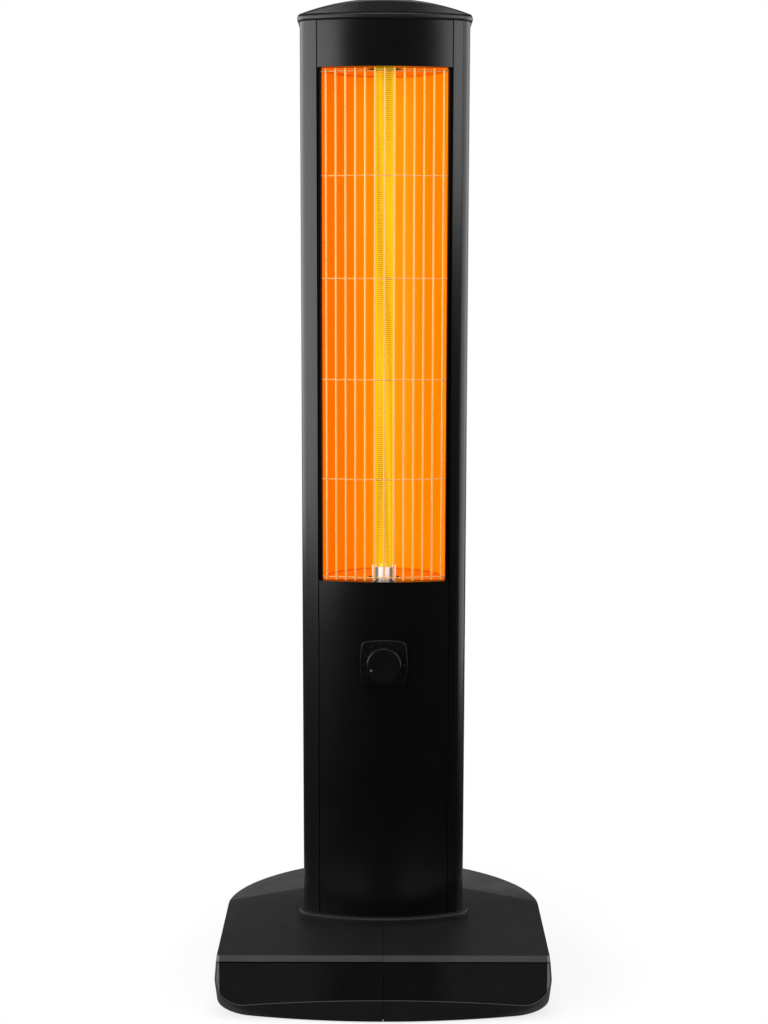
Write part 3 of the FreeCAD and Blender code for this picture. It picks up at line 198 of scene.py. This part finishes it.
class Nodes:
    """Shader nodes of a material or of the world, with short ways to add to them."""

    def __init__(self, owner):
        owner.use_nodes = True
        self.tree = owner.node_tree

    def add(self, kind, **settings):
        """New node with its settings."""
        node = self.tree.nodes.new(kind)
        for key, value in settings.items():
            setattr(node, key, value)
        return node

    def feed(self, socket, value):
        """Links an output to the socket, or sets a plain value on it."""
        if isinstance(value, bpy.types.NodeSocket):
            self.tree.links.new(value, socket)
        else:
            socket.default_value = value

    def feed_all(self, node, values):
        """Feeds a node's inputs in their order."""
        for socket, value in zip(node.inputs, values):
            self.feed(socket, value)

    def math(self, operation, *values):
        """Result of one operation on the values."""
        node = self.add("ShaderNodeMath", operation=operation)
        self.feed_all(node, values)
        return node.outputs["Value"]

    def vector(self, operation, *values, result="Vector"):
        """Result of one operation on the vectors."""
        node = self.add("ShaderNodeVectorMath", operation=operation)
        self.feed_all(node, values)
        return node.outputs[result]

    def levels(self, source, low, high, start=noise_low, end=noise_high, step="LINEAR"):
        """Maps the source's range from start to end to values from low to high."""
        node = self.add("ShaderNodeMapRange", interpolation_type=step)
        values = {"Value": source, "From Min": start, "From Max": end, "To Min": low, "To Max": high}
        for key, value in values.items():
            self.feed(node.inputs[key], value)
        return node.outputs["Result"]

    def smooth(self, source, low, high, limits):
        """Smooth step from low to high between two values of the source."""
        return self.levels(source, low, high, *limits, step="SMOOTHSTEP")

    def coordinate(self, vector, name):
        """One coordinate of a vector."""
        axes = self.add("ShaderNodeSeparateXYZ")
        self.feed(axes.inputs["Vector"], vector)
        return axes.outputs[name]

    def seen_rays(self, *kinds):
        """One for the kinds of ray that are named, and zero for the others."""
        path = self.add("ShaderNodeLightPath")
        total = path.outputs[kinds[0]]
        for kind in kinds[1:]:
            total = self.math("MAXIMUM", total, path.outputs[kind])
        return total

    def surface(self, kind, **values):
        """New shader of that kind with its values."""
        node = self.add(kind)
        for key, value in values.items():
            self.feed(node.inputs[key], value)
        return node.outputs[0]

    def mix(self, share, first, second):
        """Mix of two shaders."""
        node = self.add("ShaderNodeMixShader")
        self.feed_all(node, (share, first, second))
        return node.outputs["Shader"]


class Finish(Nodes):
    """One material of the object."""

    sockets = {
        "colour": "Base Color",
        "metal": "Metallic",
        "roughness": "Roughness",
        "specular": "Specular IOR Level",
        "ior": "IOR",
        "transmission": "Transmission Weight",
        "glow": "Emission Color",
        "glow_strength": "Emission Strength",
    }

    def __init__(self, name, **values):
        self.material = bpy.data.materials.new(name)
        super().__init__(self.material)
        self.shader = self.tree.nodes["Principled BSDF"]
        coordinates = self.add("ShaderNodeTexCoord")
        self.place = coordinates.outputs["Object"]
        self.normal = coordinates.outputs["Normal"]
        for key, value in values.items():
            self.drive(key, value)

    def drive(self, key, value):
        """Sets one of the shader's values, evenly or from a node's output."""
        self.feed(self.shader.inputs[self.sockets[key]], value)

    def noise(self, size, stretch=(1.0, 1.0, 1.0), detail=2.0):
        """Noise with features of that size in metres, stretched along each axis."""
        mapping = self.add("ShaderNodeMapping")
        self.feed(mapping.inputs["Vector"], self.place)
        self.feed(mapping.inputs["Scale"], [1.0 / (size * length) for length in stretch])
        texture = self.add("ShaderNodeTexNoise")
        self.feed(texture.inputs["Vector"], mapping.outputs["Vector"])
        self.feed(texture.inputs["Scale"], 1.0)
        self.feed(texture.inputs["Detail"], detail)
        return texture.outputs["Fac"]

    def shades(self, source, stops):
        """Colours along the source, from a list of place and colour."""
        ramp = self.add("ShaderNodeValToRGB")
        elements = ramp.color_ramp.elements
        while len(elements) < len(stops):
            elements.new(0.5)
        for element, (place, colour) in zip(elements, stops):
            element.position = place
            element.color = (*colour, 1.0)
        self.feed(ramp.inputs["Fac"], source)
        return ramp.outputs["Color"]

    def tint(self, source, dark, light, start=noise_low, end=noise_high):
        """Colour from dark to light along the source."""
        self.drive("colour", self.shades(source, [(start, dark), (end, light)]))

    def axis(self, name):
        """One coordinate of the place."""
        return self.coordinate(self.place, name)

    def facing(self, name):
        """One coordinate of the direction that the surface faces."""
        return self.coordinate(self.normal, name)

    def from_middle(self):
        """Distance from the heater's middle plane."""
        return self.math("ABSOLUTE", self.axis("X"))

    def outward(self, centre):
        """Positive on faces that look away from a centre, where None leaves an axis out."""
        away = self.vector("SUBTRACT", self.place, [value or 0.0 for value in centre])
        across = self.vector("MULTIPLY", away, [0.0 if value is None else 1.0 for value in centre])
        return self.vector("DOT_PRODUCT", across, self.normal, result="Value")

    def faded_ends(self, level, low, high, length):
        """Rises from a level to one over a length above low, and falls again below high."""
        height = self.axis("Z")
        rise = self.levels(height, level, 1.0, low, low + length)
        fall = self.levels(height, level, 1.0, high, high - length)
        return self.math("MULTIPLY", rise, fall)

    def relief(self, height, depth):
        """Surface relief of that depth in metres."""
        self.bump = self.add("ShaderNodeBump")
        self.feed(self.bump.inputs["Distance"], depth)
        self.feed(self.bump.inputs["Height"], height)
        self.feed(self.shader.inputs["Normal"], self.bump.outputs["Normal"])

    def face_ends(self):
        """One at the outer ends of the base's front face, and zero elsewhere."""
        forward = self.math("LESS_THAN", self.facing("Y"), -least_forward)
        return self.math("MULTIPLY", forward, self.levels(self.from_middle(), 0.0, 1.0, end_start, end_full))

    def round_ends(self, share):
        """Turns the shading under a finished relief outwards and upwards, as on a rounded edge."""
        turn = self.add("ShaderNodeCombineXYZ")
        self.feed(turn.inputs["X"], self.math("MULTIPLY", share, self.math("SIGN", self.axis("X"))))
        self.feed(turn.inputs["Z"], self.math("MULTIPLY", share, end_lift))
        turned = self.vector("ADD", self.normal, turn.outputs["Vector"])
        self.feed(self.bump.inputs["Normal"], self.vector("NORMALIZE", turned))


def grey(value, warmth=0.0):
    """Near-neutral colour, a little warm or cool."""
    return (value * (1.0 + warmth), value, value * (1.0 - warmth))


def grained(name, dark, light, roughness, grain, depth, specular):
    """Moulded plastic with a fine grain and faint dull patches."""
    finish = Finish(name, specular=specular)
    unevenness = 0.04
    fine = finish.noise(grain, detail=3.0)
    patches = finish.noise(grains_per_patch * grain)
    finish.tint(fine, grey(dark, coolness), grey(light, coolness), start=0.35, end=0.68)
    finish.drive("roughness", finish.levels(patches, roughness - unevenness, roughness + unevenness))
    finish.relief(fine, depth)
    return finish


def black_plastic():
    """Grained black plastic."""
    return grained(
        "black_plastic_finish",
        dark=0.004, light=0.010, roughness=0.50, grain=0.55 * mm, depth=0.05 * mm, specular=0.25,
    ).material


def base_plastic():
    """Grained deck with painted sheen on the rear facets and the front bevel, a painted highlight along the
    rim, painted shade on the lip, and rounded ends.
    """
    deck_specular = 0.17
    finish = grained(
        "base_plastic_finish",
        dark=0.004, light=0.010, roughness=0.50, grain=0.55 * mm, depth=0.05 * mm, specular=deck_specular,
    )
    in_front = finish.math("LESS_THAN", finish.axis("Y"), bevel_back)
    below = finish.math("LESS_THAN", finish.axis("Z"), bevel_bottom)
    upward = finish.math("GREATER_THAN", finish.facing("Z"), least_upward)
    rearward = finish.math("GREATER_THAN", finish.facing("Y"), least_rearward)
    facet = finish.math("MULTIPLY", upward, rearward)
    bevel = finish.math("MULTIPLY", in_front, upward)
    rim = finish.math("MULTIPLY", bevel, below)
    lip = finish.math("GREATER_THAN", in_front, upward)
    ends = finish.face_ends()
    bevel_painted_sheen = finish.levels(finish.from_middle(), 0.17, 0.28, 0.0, bevel_sheen_half_width)
    # Painted light in the sheen: brighter rear facets and front bevel, a painted highlight along the rim and
    # painted shade on the lip; the ends shade as a rounded edge
    zones = ((facet, 0.12), (bevel, bevel_painted_sheen), (rim, 0.55), (lip, -0.09), (ends, end_specular))
    specular = deck_specular
    for zone, change in zones:
        specular = finish.math("MULTIPLY_ADD", zone, change, specular)
    finish.drive("specular", specular)
    finish.round_ends(ends)
    return finish.material


def cap_plastic():
    """Smoother grain, with painted shade: a dark line where the crown meets its rim band."""
    shine = 0.55
    finish = grained(
        "cap_plastic_finish",
        dark=0.004, light=0.009, roughness=0.34, grain=0.55 * mm, depth=0.02 * mm, specular=shine,
    )
    # Painted shade: the sheen is taken out along the crease between crown and band
    from_seam = finish.math("ABSOLUTE", finish.math("SUBTRACT", finish.axis("Z"), crown_seam))
    line = finish.levels(from_seam, 0.02, shine, seam_half_width, seam_half_width + seam_blur)
    finish.drive("specular", line)
    return finish.material


def control_plastic():
    """Fine-grained black plastic of the knob and its bezel."""
    return grained(
        "control_plastic_finish",
        dark=0.002, light=0.005, roughness=0.30, grain=0.35 * mm, depth=0.008 * mm, specular=0.25,
    ).material


def switch_plastic():
    """Grey plastic of the switch housings."""
    return grained(
        "switch_plastic_finish",
        dark=0.09, light=0.14, roughness=0.5, grain=0.5 * mm, depth=0.02 * mm, specular=0.4,
    ).material


def satin_profile():
    """Powder coat with fine orange peel, faint lines along its length and painted shade by the window, where
    its sheen is taken out.
    """
    sheen = 0.41
    finish = Finish("satin_profile_finish", specular=sheen)
    peel = finish.noise(1.1 * mm)
    lines = finish.noise(0.9 * mm, stretch=(1.0, 1.0, 400.0))
    finish.tint(peel, grey(0.0012, coolness), grey(0.0024, coolness))
    finish.drive("roughness", finish.levels(lines, 0.21, 0.27))
    # Painted shade: no sheen beside the window, standing in for the shadow on the jamb
    painted_jamb_shade = finish.levels(finish.from_middle(), 0.05, sheen, jamb_edge - edge_blur, jamb_edge + edge_blur)
    finish.drive("specular", painted_jamb_shade)
    finish.relief(peel, 0.012 * mm)
    return finish.material


def panel_paint():
    """Semi-matt black paint on sheet metal, with painted shade at the edges beside the profiles, where the
    sheen is taken out.
    """
    sheen = 0.39
    finish = Finish("panel_paint_finish", specular=sheen)
    peel = finish.noise(1.6 * mm)
    patches = finish.noise(45 * mm)
    finish.tint(peel, grey(0.0015), grey(0.0025))
    finish.drive("roughness", finish.levels(patches, 0.22, 0.27))
    # Painted shade: the sheen is taken out near the edges, standing in for the shadow in the gap beside the
    # profiles
    edge = finish.levels(finish.from_middle(), sheen, 0.03, panel_edge - edge_blur, panel_edge)
    finish.drive("specular", edge)
    finish.relief(peel, 0.006 * mm)
    return finish.material


def gloss_plastic():
    """Polished black face with the faint haze of handling, and ends that shade as a rounded edge."""
    polish = 0.22
    finish = Finish("gloss_plastic_finish", specular=polish)
    haze = finish.noise(18 * mm, detail=4.0)
    ripple = finish.noise(30 * mm)
    ends = finish.face_ends()
    hazy = finish.levels(haze, 0.05, 0.10)
    finish.tint(haze, grey(0.0025), grey(0.004))
    finish.drive("roughness", finish.math("MULTIPLY_ADD", ends, end_roughness, hazy))
    finish.drive("specular", finish.levels(ends, polish, end_specular, 0.0, 1.0))
    finish.relief(ripple, 0.03 * mm)
    finish.round_ends(ends)
    return finish.material


def drawn_metal(name, dark, light, roughness, stretch, metal=1.0):
    """Metal with fine lines, which run the way they are stretched, and a range of roughness."""
    finish = Finish(name, metal=metal)
    lines = finish.noise(drawn_line, stretch=stretch)
    finish.tint(lines, dark, light)
    finish.drive("roughness", finish.levels(lines, *roughness))
    finish.relief(lines, drawn_depth)
    return finish.material


def bright_steel():
    """Guard wire, with the tube's warm light painted into its orange colour."""
    # Painted light: the orange colour stands in for the tube's warm light on the wire
    return drawn_metal(
        "guard_wire_painted_warm_finish",
        dark=(0.80, 0.42, 0.10), light=(0.92, 0.52, 0.15), roughness=(0.30, 0.40), stretch=(1.0, 1.0, 120.0),
        metal=0.25,
    )


def plated_steel():
    """Zinc-plated sheet and screws."""
    return drawn_metal(
        "plated_steel_finish",
        dark=grey(0.46, -0.01), light=grey(0.62, 0.02), roughness=(0.26, 0.40), stretch=(14.0, 14.0, 3.0),
    )


def brass_pin():
    """Turned brass."""
    return drawn_metal(
        "brass_pin_finish",
        dark=(0.62, 0.44, 0.17), light=(0.78, 0.60, 0.28), roughness=(0.2, 0.32), stretch=(8.0, 8.0, 1.0),
    )


def sleeve_metal():
    """Turned metal with painted reflections, pale in front and at its sides with a grey band on either hand,
    which also glow as painted light.
    """
    finish = Finish("sleeve_painted_reflection_finish", metal=0.25, glow_strength=0.3)
    lines = finish.noise(drawn_line, stretch=(12.0, 12.0, 400.0))
    sideways = finish.math("ABSOLUTE", finish.facing("X"))
    pale = grey(1.0, 0.04)
    dull = grey(0.16, 0.1)
    # Painted reflection: pale and grey by the way the surface faces, and used as painted glow too
    painted_reflection_bands = finish.shades(sideways, [(0.38, pale), (0.52, dull), (0.80, dull), (0.93, pale)])
    finish.drive("colour", painted_reflection_bands)
    finish.drive("glow", painted_reflection_bands)
    finish.drive("roughness", finish.levels(lines, 0.22, 0.34))
    finish.relief(lines, drawn_depth)
    return finish.material


def painted_glow_sheet(name, painted_glow_stops):
    """Rolled sheet with an orange tint and a glow across its width, both painted light from the tube, and
    the glow's level, which is zero behind the sheet.
    """
    low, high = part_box("reflector")
    finish = Finish(name, metal=0.3, specular=0.05)
    lines = finish.noise(0.6 * mm, stretch=(1.0, 1.0, 200.0))
    light = (0.45, 0.14, 0.0)
    dark = [0.85 * value for value in light]
    finish.tint(lines, dark, light)
    finish.drive("roughness", finish.levels(lines, 0.30, 0.40))
    across = finish.levels(finish.axis("X"), 0.0, 1.0, low.x, high.x)
    # Painted light: the sheet glows in orange though it is no lamp
    finish.drive("glow", finish.shades(across, painted_glow_stops))
    inside = finish.math("LESS_THAN", finish.outward((0.0, low.y, (low.z + high.z) / 2)), 0.0)
    return finish, finish.math("MULTIPLY", inside, finish.levels(lines, 0.78, 0.84))


def reflector_metal():
    """Bent sheet with painted glow, deeper orange to the left, and painted shade, dark red, where it meets
    the end plates.
    """
    stops = [
        (0.02, (1.0, 0.12, 0.0)),
        (0.38, (1.0, 0.215, 0.0)),
        (0.62, (1.0, 0.27, 0.002)),
        (0.95, (1.0, 0.21, 0.0)),
    ]
    finish, glow = painted_glow_sheet("reflector_painted_glow_finish", stops)
    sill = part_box("reflector_bottom_plate")[1].z
    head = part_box("reflector_top_plate")[0].z
    # Painted shade: the glow dims near the end plates
    painted_joint_shade = finish.faded_ends(0.25, sill, head, reflector_shade_length)
    finish.drive("glow_strength", finish.math("MULTIPLY", glow, painted_joint_shade))
    return finish.material


def end_plate_painted_glow():
    """Flat ends of the reflector, with a redder orange glow painted on as light."""
    stops = [(0.05, (0.76, 0.10, 0.004)), (0.5, (0.82, 0.11, 0.003)), (0.95, (0.78, 0.08, 0.002))]
    finish, glow = painted_glow_sheet("end_plate_glow_finish", stops)
    # Painted light: the plates glow, though they are no lamp
    finish.drive("glow_strength", glow)
    return finish.material


def quartz():
    """Clear tube with a golden tint and glow painted on as the coil's light, and which hardly mirrors the
    studio.
    """
    finish = Finish("quartz_painted_glow_finish", transmission=1.0, ior=1.06, glow=(1.0, 0.66, 0.012, 1.0))
    streaks = finish.noise(2.5 * mm, stretch=(1.0, 1.0, 60.0))
    # Painted light: golden tint and glow in the glass, which is no lamp
    finish.tint(streaks, (1.0, 0.90, 0.66), (1.0, 0.95, 0.80))
    finish.drive("roughness", finish.levels(streaks, 0.02, 0.06))
    finish.drive("glow_strength", finish.levels(streaks, 0.155, 0.17))
    return finish.material


def glowing_coil():
    """Hot wire, brighter in its middle stretch, with painted shade that dims the glow on its inward faces.
    """
    low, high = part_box("heating_coil")
    finish = Finish("glowing_coil_finish", metal=0.6, roughness=0.5, specular=0.1)
    uneven = finish.noise(9 * mm)
    finish.tint(uneven, (0.15, 0.06, 0.01), (0.20, 0.09, 0.015))
    heat = finish.faded_ends(0.35, low.z, high.z, coil_warm_stretch)
    finish.drive("glow", finish.shades(heat, [(0.3, (1.0, 0.30, 0.01)), (0.9, (1.0, 0.76, 0.02))]))
    # Painted shade: the glow is dimmer on faces that look in towards the coil's axis
    outer = finish.outward(((low.x + high.x) / 2, (low.y + high.y) / 2, None))
    side = finish.levels(outer, 0.06, 0.34, -coil_wire, coil_wire)
    level = finish.math("MULTIPLY", side, finish.levels(uneven, 0.94, 1.06))
    finish.drive("glow_strength", finish.math("MULTIPLY", heat, level))
    return finish.material


def ceramic():
    """Unglazed white ceramic with a chalky surface."""
    finish = Finish("ceramic_finish", specular=0.3)
    chalk = finish.noise(1.2 * mm, detail=5.0)
    finish.tint(chalk, (0.74, 0.71, 0.65), (0.84, 0.82, 0.77))
    finish.drive("roughness", finish.levels(chalk, 0.7, 0.85))
    finish.relief(chalk, 0.03 * mm)
    return finish.material


def printed(name, dark, light):
    """Grey print with a faint grain."""
    finish = Finish(name, specular=0.3)
    print_grain = finish.noise(0.2 * mm)
    finish.tint(print_grain, grey(dark), grey(light))
    finish.drive("roughness", finish.levels(print_grain, 0.45, 0.6))
    return finish.material


def pointer_white():
    """The knob's mark."""
    return printed("pointer_white_finish", dark=0.08, light=0.12)


def scale_print():
    """The faint scale round the knob."""
    return printed("scale_print_finish", dark=0.03, light=0.05)


def lead_cover():
    """Braided sleeve on the lead wires."""
    finish = Finish("lead_cover_finish", specular=0.3)
    braid = finish.noise(0.5 * mm, stretch=(1.0, 1.0, 2.5), detail=1.0)
    finish.tint(braid, grey(0.46, 0.03), grey(0.62, 0.03), start=0.35, end=0.65)
    finish.drive("roughness", finish.levels(braid, 0.6, 0.8))
    finish.relief(braid, 0.08 * mm)
    return finish.material


def rubber():
    """Soft black rubber."""
    finish = Finish("rubber_finish", specular=0.2)
    bloom = finish.noise(1.5 * mm, detail=4.0)
    finish.tint(bloom, grey(0.02), grey(0.035))
    finish.drive("roughness", finish.levels(bloom, 0.75, 0.9))
    finish.relief(bloom, 0.02 * mm)
    return finish.material


materials = {
    "black_plastic": black_plastic(),
    "satin_profile": satin_profile(),
    "panel_paint": panel_paint(),
    "gloss_plastic": gloss_plastic(),
    "bright_steel": bright_steel(),
    "reflector_metal": reflector_metal(),
    "quartz": quartz(),
    "glowing_coil": glowing_coil(),
    "sleeve_metal": sleeve_metal(),
    "ceramic": ceramic(),
    "plated_steel": plated_steel(),
    "brass_pin": brass_pin(),
    "control_plastic": control_plastic(),
    "pointer_white": pointer_white(),
    "switch_plastic": switch_plastic(),
    "lead_cover": lead_cover(),
    "rubber": rubber(),
}

base_finish = base_plastic()
end_plate_glow_finish = end_plate_painted_glow()

# Finishes of nodes that differ from the rest of their slot
own_finishes = {
    "top_cap": cap_plastic(),
    "base_left_half": base_finish,
    "base_right_half": base_finish,
    "reflector_bottom_plate": end_plate_glow_finish,
    "reflector_top_plate": end_plate_glow_finish,
}


def dress_nodes():
    """Gives each node the material of its slot, or its own."""
    for part in frame["record"]["subparts"]:
        mesh = nodes[part["node"]].data
        mesh.materials.clear()
        mesh.materials.append(own_finishes.get(part["node"], materials[part["material_slot"]]))


def geometry_group(name):
    """Empty group of geometry nodes, with its ends."""
    group = bpy.data.node_groups.new(name, "GeometryNodeTree")
    for way in ("INPUT", "OUTPUT"):
        group.interface.new_socket("Geometry", in_out=way, socket_type="NodeSocketGeometry")
    start = group.nodes.new("NodeGroupInput").outputs["Geometry"]
    end = group.nodes.new("NodeGroupOutput").inputs["Geometry"]
    return group, start, end


def joined_faces():
    """Joins the faces that meet, and drops the normals that came with them."""
    group, start, end = geometry_group("joined_faces")
    plain = group.nodes.new("GeometryNodeRemoveAttribute")
    plain.inputs["Name"].default_value = "custom_normal"
    weld = group.nodes.new("GeometryNodeMergeByDistance")
    weld.inputs["Distance"].default_value = weld_distance
    group.links.new(start, plain.inputs["Geometry"])
    group.links.new(plain.outputs["Geometry"], weld.inputs["Geometry"])
    group.links.new(weld.outputs["Geometry"], end)
    return group


def smooth_by_angle():
    """Smooth shading, with the sharp edges kept."""
    group, start, end = geometry_group("smooth_by_angle")
    faces = group.nodes.new("GeometryNodeSetShadeSmooth")
    edges = group.nodes.new("GeometryNodeSetShadeSmooth")
    edges.domain = "EDGE"
    edges.inputs["Shade Smooth"].default_value = False
    angle = group.nodes.new("GeometryNodeInputMeshEdgeAngle")
    sharp = group.nodes.new("ShaderNodeMath")
    sharp.operation = "GREATER_THAN"
    sharp.inputs[1].default_value = math.radians(sharp_angle)
    group.links.new(start, faces.inputs["Geometry"])
    group.links.new(faces.outputs["Geometry"], edges.inputs["Geometry"])
    group.links.new(angle.outputs["Unsigned Angle"], sharp.inputs[0])
    group.links.new(sharp.outputs["Value"], edges.inputs["Selection"])
    group.links.new(edges.outputs["Geometry"], end)
    return group


join_group = joined_faces()
smooth_group = smooth_by_angle()


def soften_edges(node, width):
    """Rounds a node's sharp edges by a small width in metres."""
    obj = nodes[node]
    obj.modifiers.new("joined_faces", "NODES").node_group = join_group
    flat = obj.modifiers.new("flat_faces", "DECIMATE")
    flat.decimate_type = "DISSOLVE"
    flat.angle_limit = math.radians(flat_angle)
    edge = obj.modifiers.new("edge", "BEVEL")
    edge.width = width
    edge.segments = edge_segments
    edge.limit_method = "ANGLE"
    edge.angle_limit = math.radians(sharp_angle)
    edge.use_clamp_overlap = True
    obj.modifiers.new("smooth_by_angle", "NODES").node_group = smooth_group
    obj.modifiers.new("even_normals", "WEIGHTED_NORMAL").keep_sharp = True


def heating_coil():
    """Fine winding inside the tube, from one terminal pin to the other."""
    low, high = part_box("heating_coil")
    axis_x = (low.x + high.x) / 2
    axis_y = (low.y + high.y) / 2
    bottom = low.z + coil_wire
    length = high.z - low.z - 2 * coil_wire
    turns = round(length / coil_pitch)
    curve = bpy.data.curves.new("heating_coil_winding", "CURVE")
    curve.dimensions = "3D"
    curve.bevel_depth = coil_wire
    curve.bevel_resolution = coil_roundness
    curve.use_fill_caps = True
    spline = curve.splines.new("POLY")
    count = turns * coil_steps + 1
    spline.points.add(count - 1)
    for index, point in enumerate(spline.points):
        angle = 2 * math.pi * index / coil_steps
        x = axis_x + coil_radius * math.cos(angle)
        y = axis_y + coil_radius * math.sin(angle)
        point.co = (x, y, bottom + length * index / (count - 1), 1.0)
    coil = bpy.data.objects.new("heating_coil_winding", curve)
    scene.collection.objects.link(coil)
    curve.materials.append(materials["glowing_coil"])
    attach(coil, "heater")
    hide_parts("heating_coil")


def scale_dot(shape, centre):
    """One raised dot with a chamfered rim, which stands forward from its centre."""
    rings = []
    for radius, height in dot_rings:
        ring = []
        for side in range(dot_sides):
            turn = 2 * math.pi * side / dot_sides
            across = Vector((math.cos(turn), 0.0, math.sin(turn))) * dot_radius * radius
            ring.append(shape.verts.new(centre + across - Vector((0.0, dot_height * height, 0.0))))
        rings.append(ring)
    for inner, outer in zip(rings, rings[1:]):
        for side in range(dot_sides):
            following = (side + 1) % dot_sides
            shape.faces.new((inner[side], inner[following], outer[following], outer[side]))
    shape.faces.new(rings[-1])
    shape.faces.new(rings[0][::-1])


def bezel_scale():
    """Small raised dots round the knob, on the bezel's face."""
    face_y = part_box("knob_bezel")[0].y
    knob_low, knob_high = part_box("control_knob")
    centre_x = (knob_low.x + knob_high.x) / 2
    centre_z = (knob_low.z + knob_high.z) / 2
    shape = bmesh.new()
    for index in range(scale_dots):
        clock = math.radians(scale_start + (scale_end - scale_start) * index / (scale_dots - 1))
        x = centre_x + scale_radius * math.sin(clock)
        z = centre_z + scale_radius * math.cos(clock)
        scale_dot(shape, Vector((x, face_y, z)))
    bmesh.ops.recalc_face_normals(shape, faces=shape.faces)
    mesh = bpy.data.meshes.new("bezel_scale_dots")
    shape.to_mesh(mesh)
    shape.free()
    mesh.materials.append(scale_print())
    dots = bpy.data.objects.new("bezel_scale_dots", mesh)
    scene.collection.objects.link(dots)
    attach(dots, "heater")


def floor_finish():
    """Nearly white with a shadow, plain where the base covers it, and dim in reflections."""
    material = bpy.data.materials.new("floor_finish")
    finish = Nodes(material)
    finish.tree.nodes.clear()
    place = finish.add("ShaderNodeTexCoord").outputs["Object"]
    distance = finish.vector("LENGTH", place, result="Value")
    fade = finish.smooth(distance, floor_white, 1.0, (floor_fade, floor_rim))
    beyond_base = finish.smooth(distance, 0.0, 1.0, floor_covered)
    share = finish.math("MULTIPLY", fade, beyond_base)
    shown = finish.math("MULTIPLY", finish.seen_rays("Is Camera Ray", "Is Transmission Ray"), share)
    diffuse = finish.surface("ShaderNodeBsdfDiffuse", Color=floor_colour)
    seen = finish.mix(shown, diffuse, finish.surface("ShaderNodeEmission"))
    from_middle = finish.math("ABSOLUTE", finish.coordinate(place, "X"))
    level = finish.smooth(from_middle, floor_reflected_middle, floor_reflected, floor_middle)
    reflected = finish.surface("ShaderNodeEmission", Strength=level)
    both = finish.mix(finish.seen_rays("Is Glossy Ray"), seen, reflected)
    finish.feed(finish.add("ShaderNodeOutputMaterial").inputs["Surface"], both)
    return material


def floor():
    """Pale disc under the heater that fades into the white background."""
    mesh = bpy.data.meshes.new("floor")
    shape = bmesh.new()
    bmesh.ops.create_circle(shape, cap_ends=True, segments=floor_sides, radius=floor_radius)
    shape.to_mesh(mesh)
    shape.free()
    mesh.materials.append(floor_finish())
    disc = bpy.data.objects.new("floor", mesh)
    disc.location.z = -floor_drop
    scene.collection.objects.link(disc)


def studio_level(studio):
    """Level of the background: one to the eye, and in reflections dim in front, low down and overhead."""
    direction = studio.add("ShaderNodeTexCoord").outputs["Generated"]
    height = studio.coordinate(direction, "Z")
    behind = studio.vector("DOT_PRODUCT", direction, bright_direction, result="Value")
    level = studio.smooth(behind, reflected_low, 1.0, bright_range)
    level = studio.math("MULTIPLY", level, studio.smooth(height, reflected_low, 1.0, ground_range))
    level = studio.math("MULTIPLY", level, studio.smooth(height, 1.0, reflected_high, overhead_range))
    return studio.math("MAXIMUM", studio.seen_rays("Is Camera Ray", "Is Transmission Ray"), level)


def world():
    """White background, with a plain level of light from all round."""
    scene.world = bpy.data.worlds.new("studio")
    studio = Nodes(scene.world)
    studio.tree.nodes.clear()
    ambient = studio.surface("ShaderNodeBackground", Color=white, Strength=ambient_level)
    backdrop = studio.surface("ShaderNodeBackground", Color=white, Strength=studio_level(studio))
    shown = studio.seen_rays("Is Camera Ray", "Is Glossy Ray", "Is Transmission Ray")
    both = studio.mix(shown, ambient, backdrop)
    studio.feed(studio.add("ShaderNodeOutputWorld").inputs["Surface"], both)


def lamps():
    """Soft studio lamps."""
    for name, (place, aim, width, height, power) in softboxes.items():
        light = bpy.data.lights.new(name, "AREA")
        light.shape = "RECTANGLE"
        light.size = width
        light.size_y = height
        light.energy = power
        lamp = bpy.data.objects.new(name, light)
        lamp.location = place
        lamp.rotation_euler = (Vector(aim) - Vector(place)).to_track_quat("-Z", "Y").to_euler()
        lamp.visible_camera = False
        scene.collection.objects.link(lamp)


def camera():
    """The photo's view of the front."""
    data = bpy.data.cameras.new("camera")
    data.sensor_width = camera_sensor
    data.lens = camera_lens
    eye = bpy.data.objects.new("camera", data)
    eye.location = camera_place
    eye.rotation_euler = (math.radians(90.0 - camera_pitch), math.radians(camera_roll), 0.0)
    scene.collection.objects.link(eye)
    scene.camera = eye


dress_nodes()
for node, width in soft_edges.items():
    soften_edges(node, width)
heating_coil()
bezel_scale()
floor()
world()
lamps()
camera()
scene.view_settings.view_transform = "Standard"
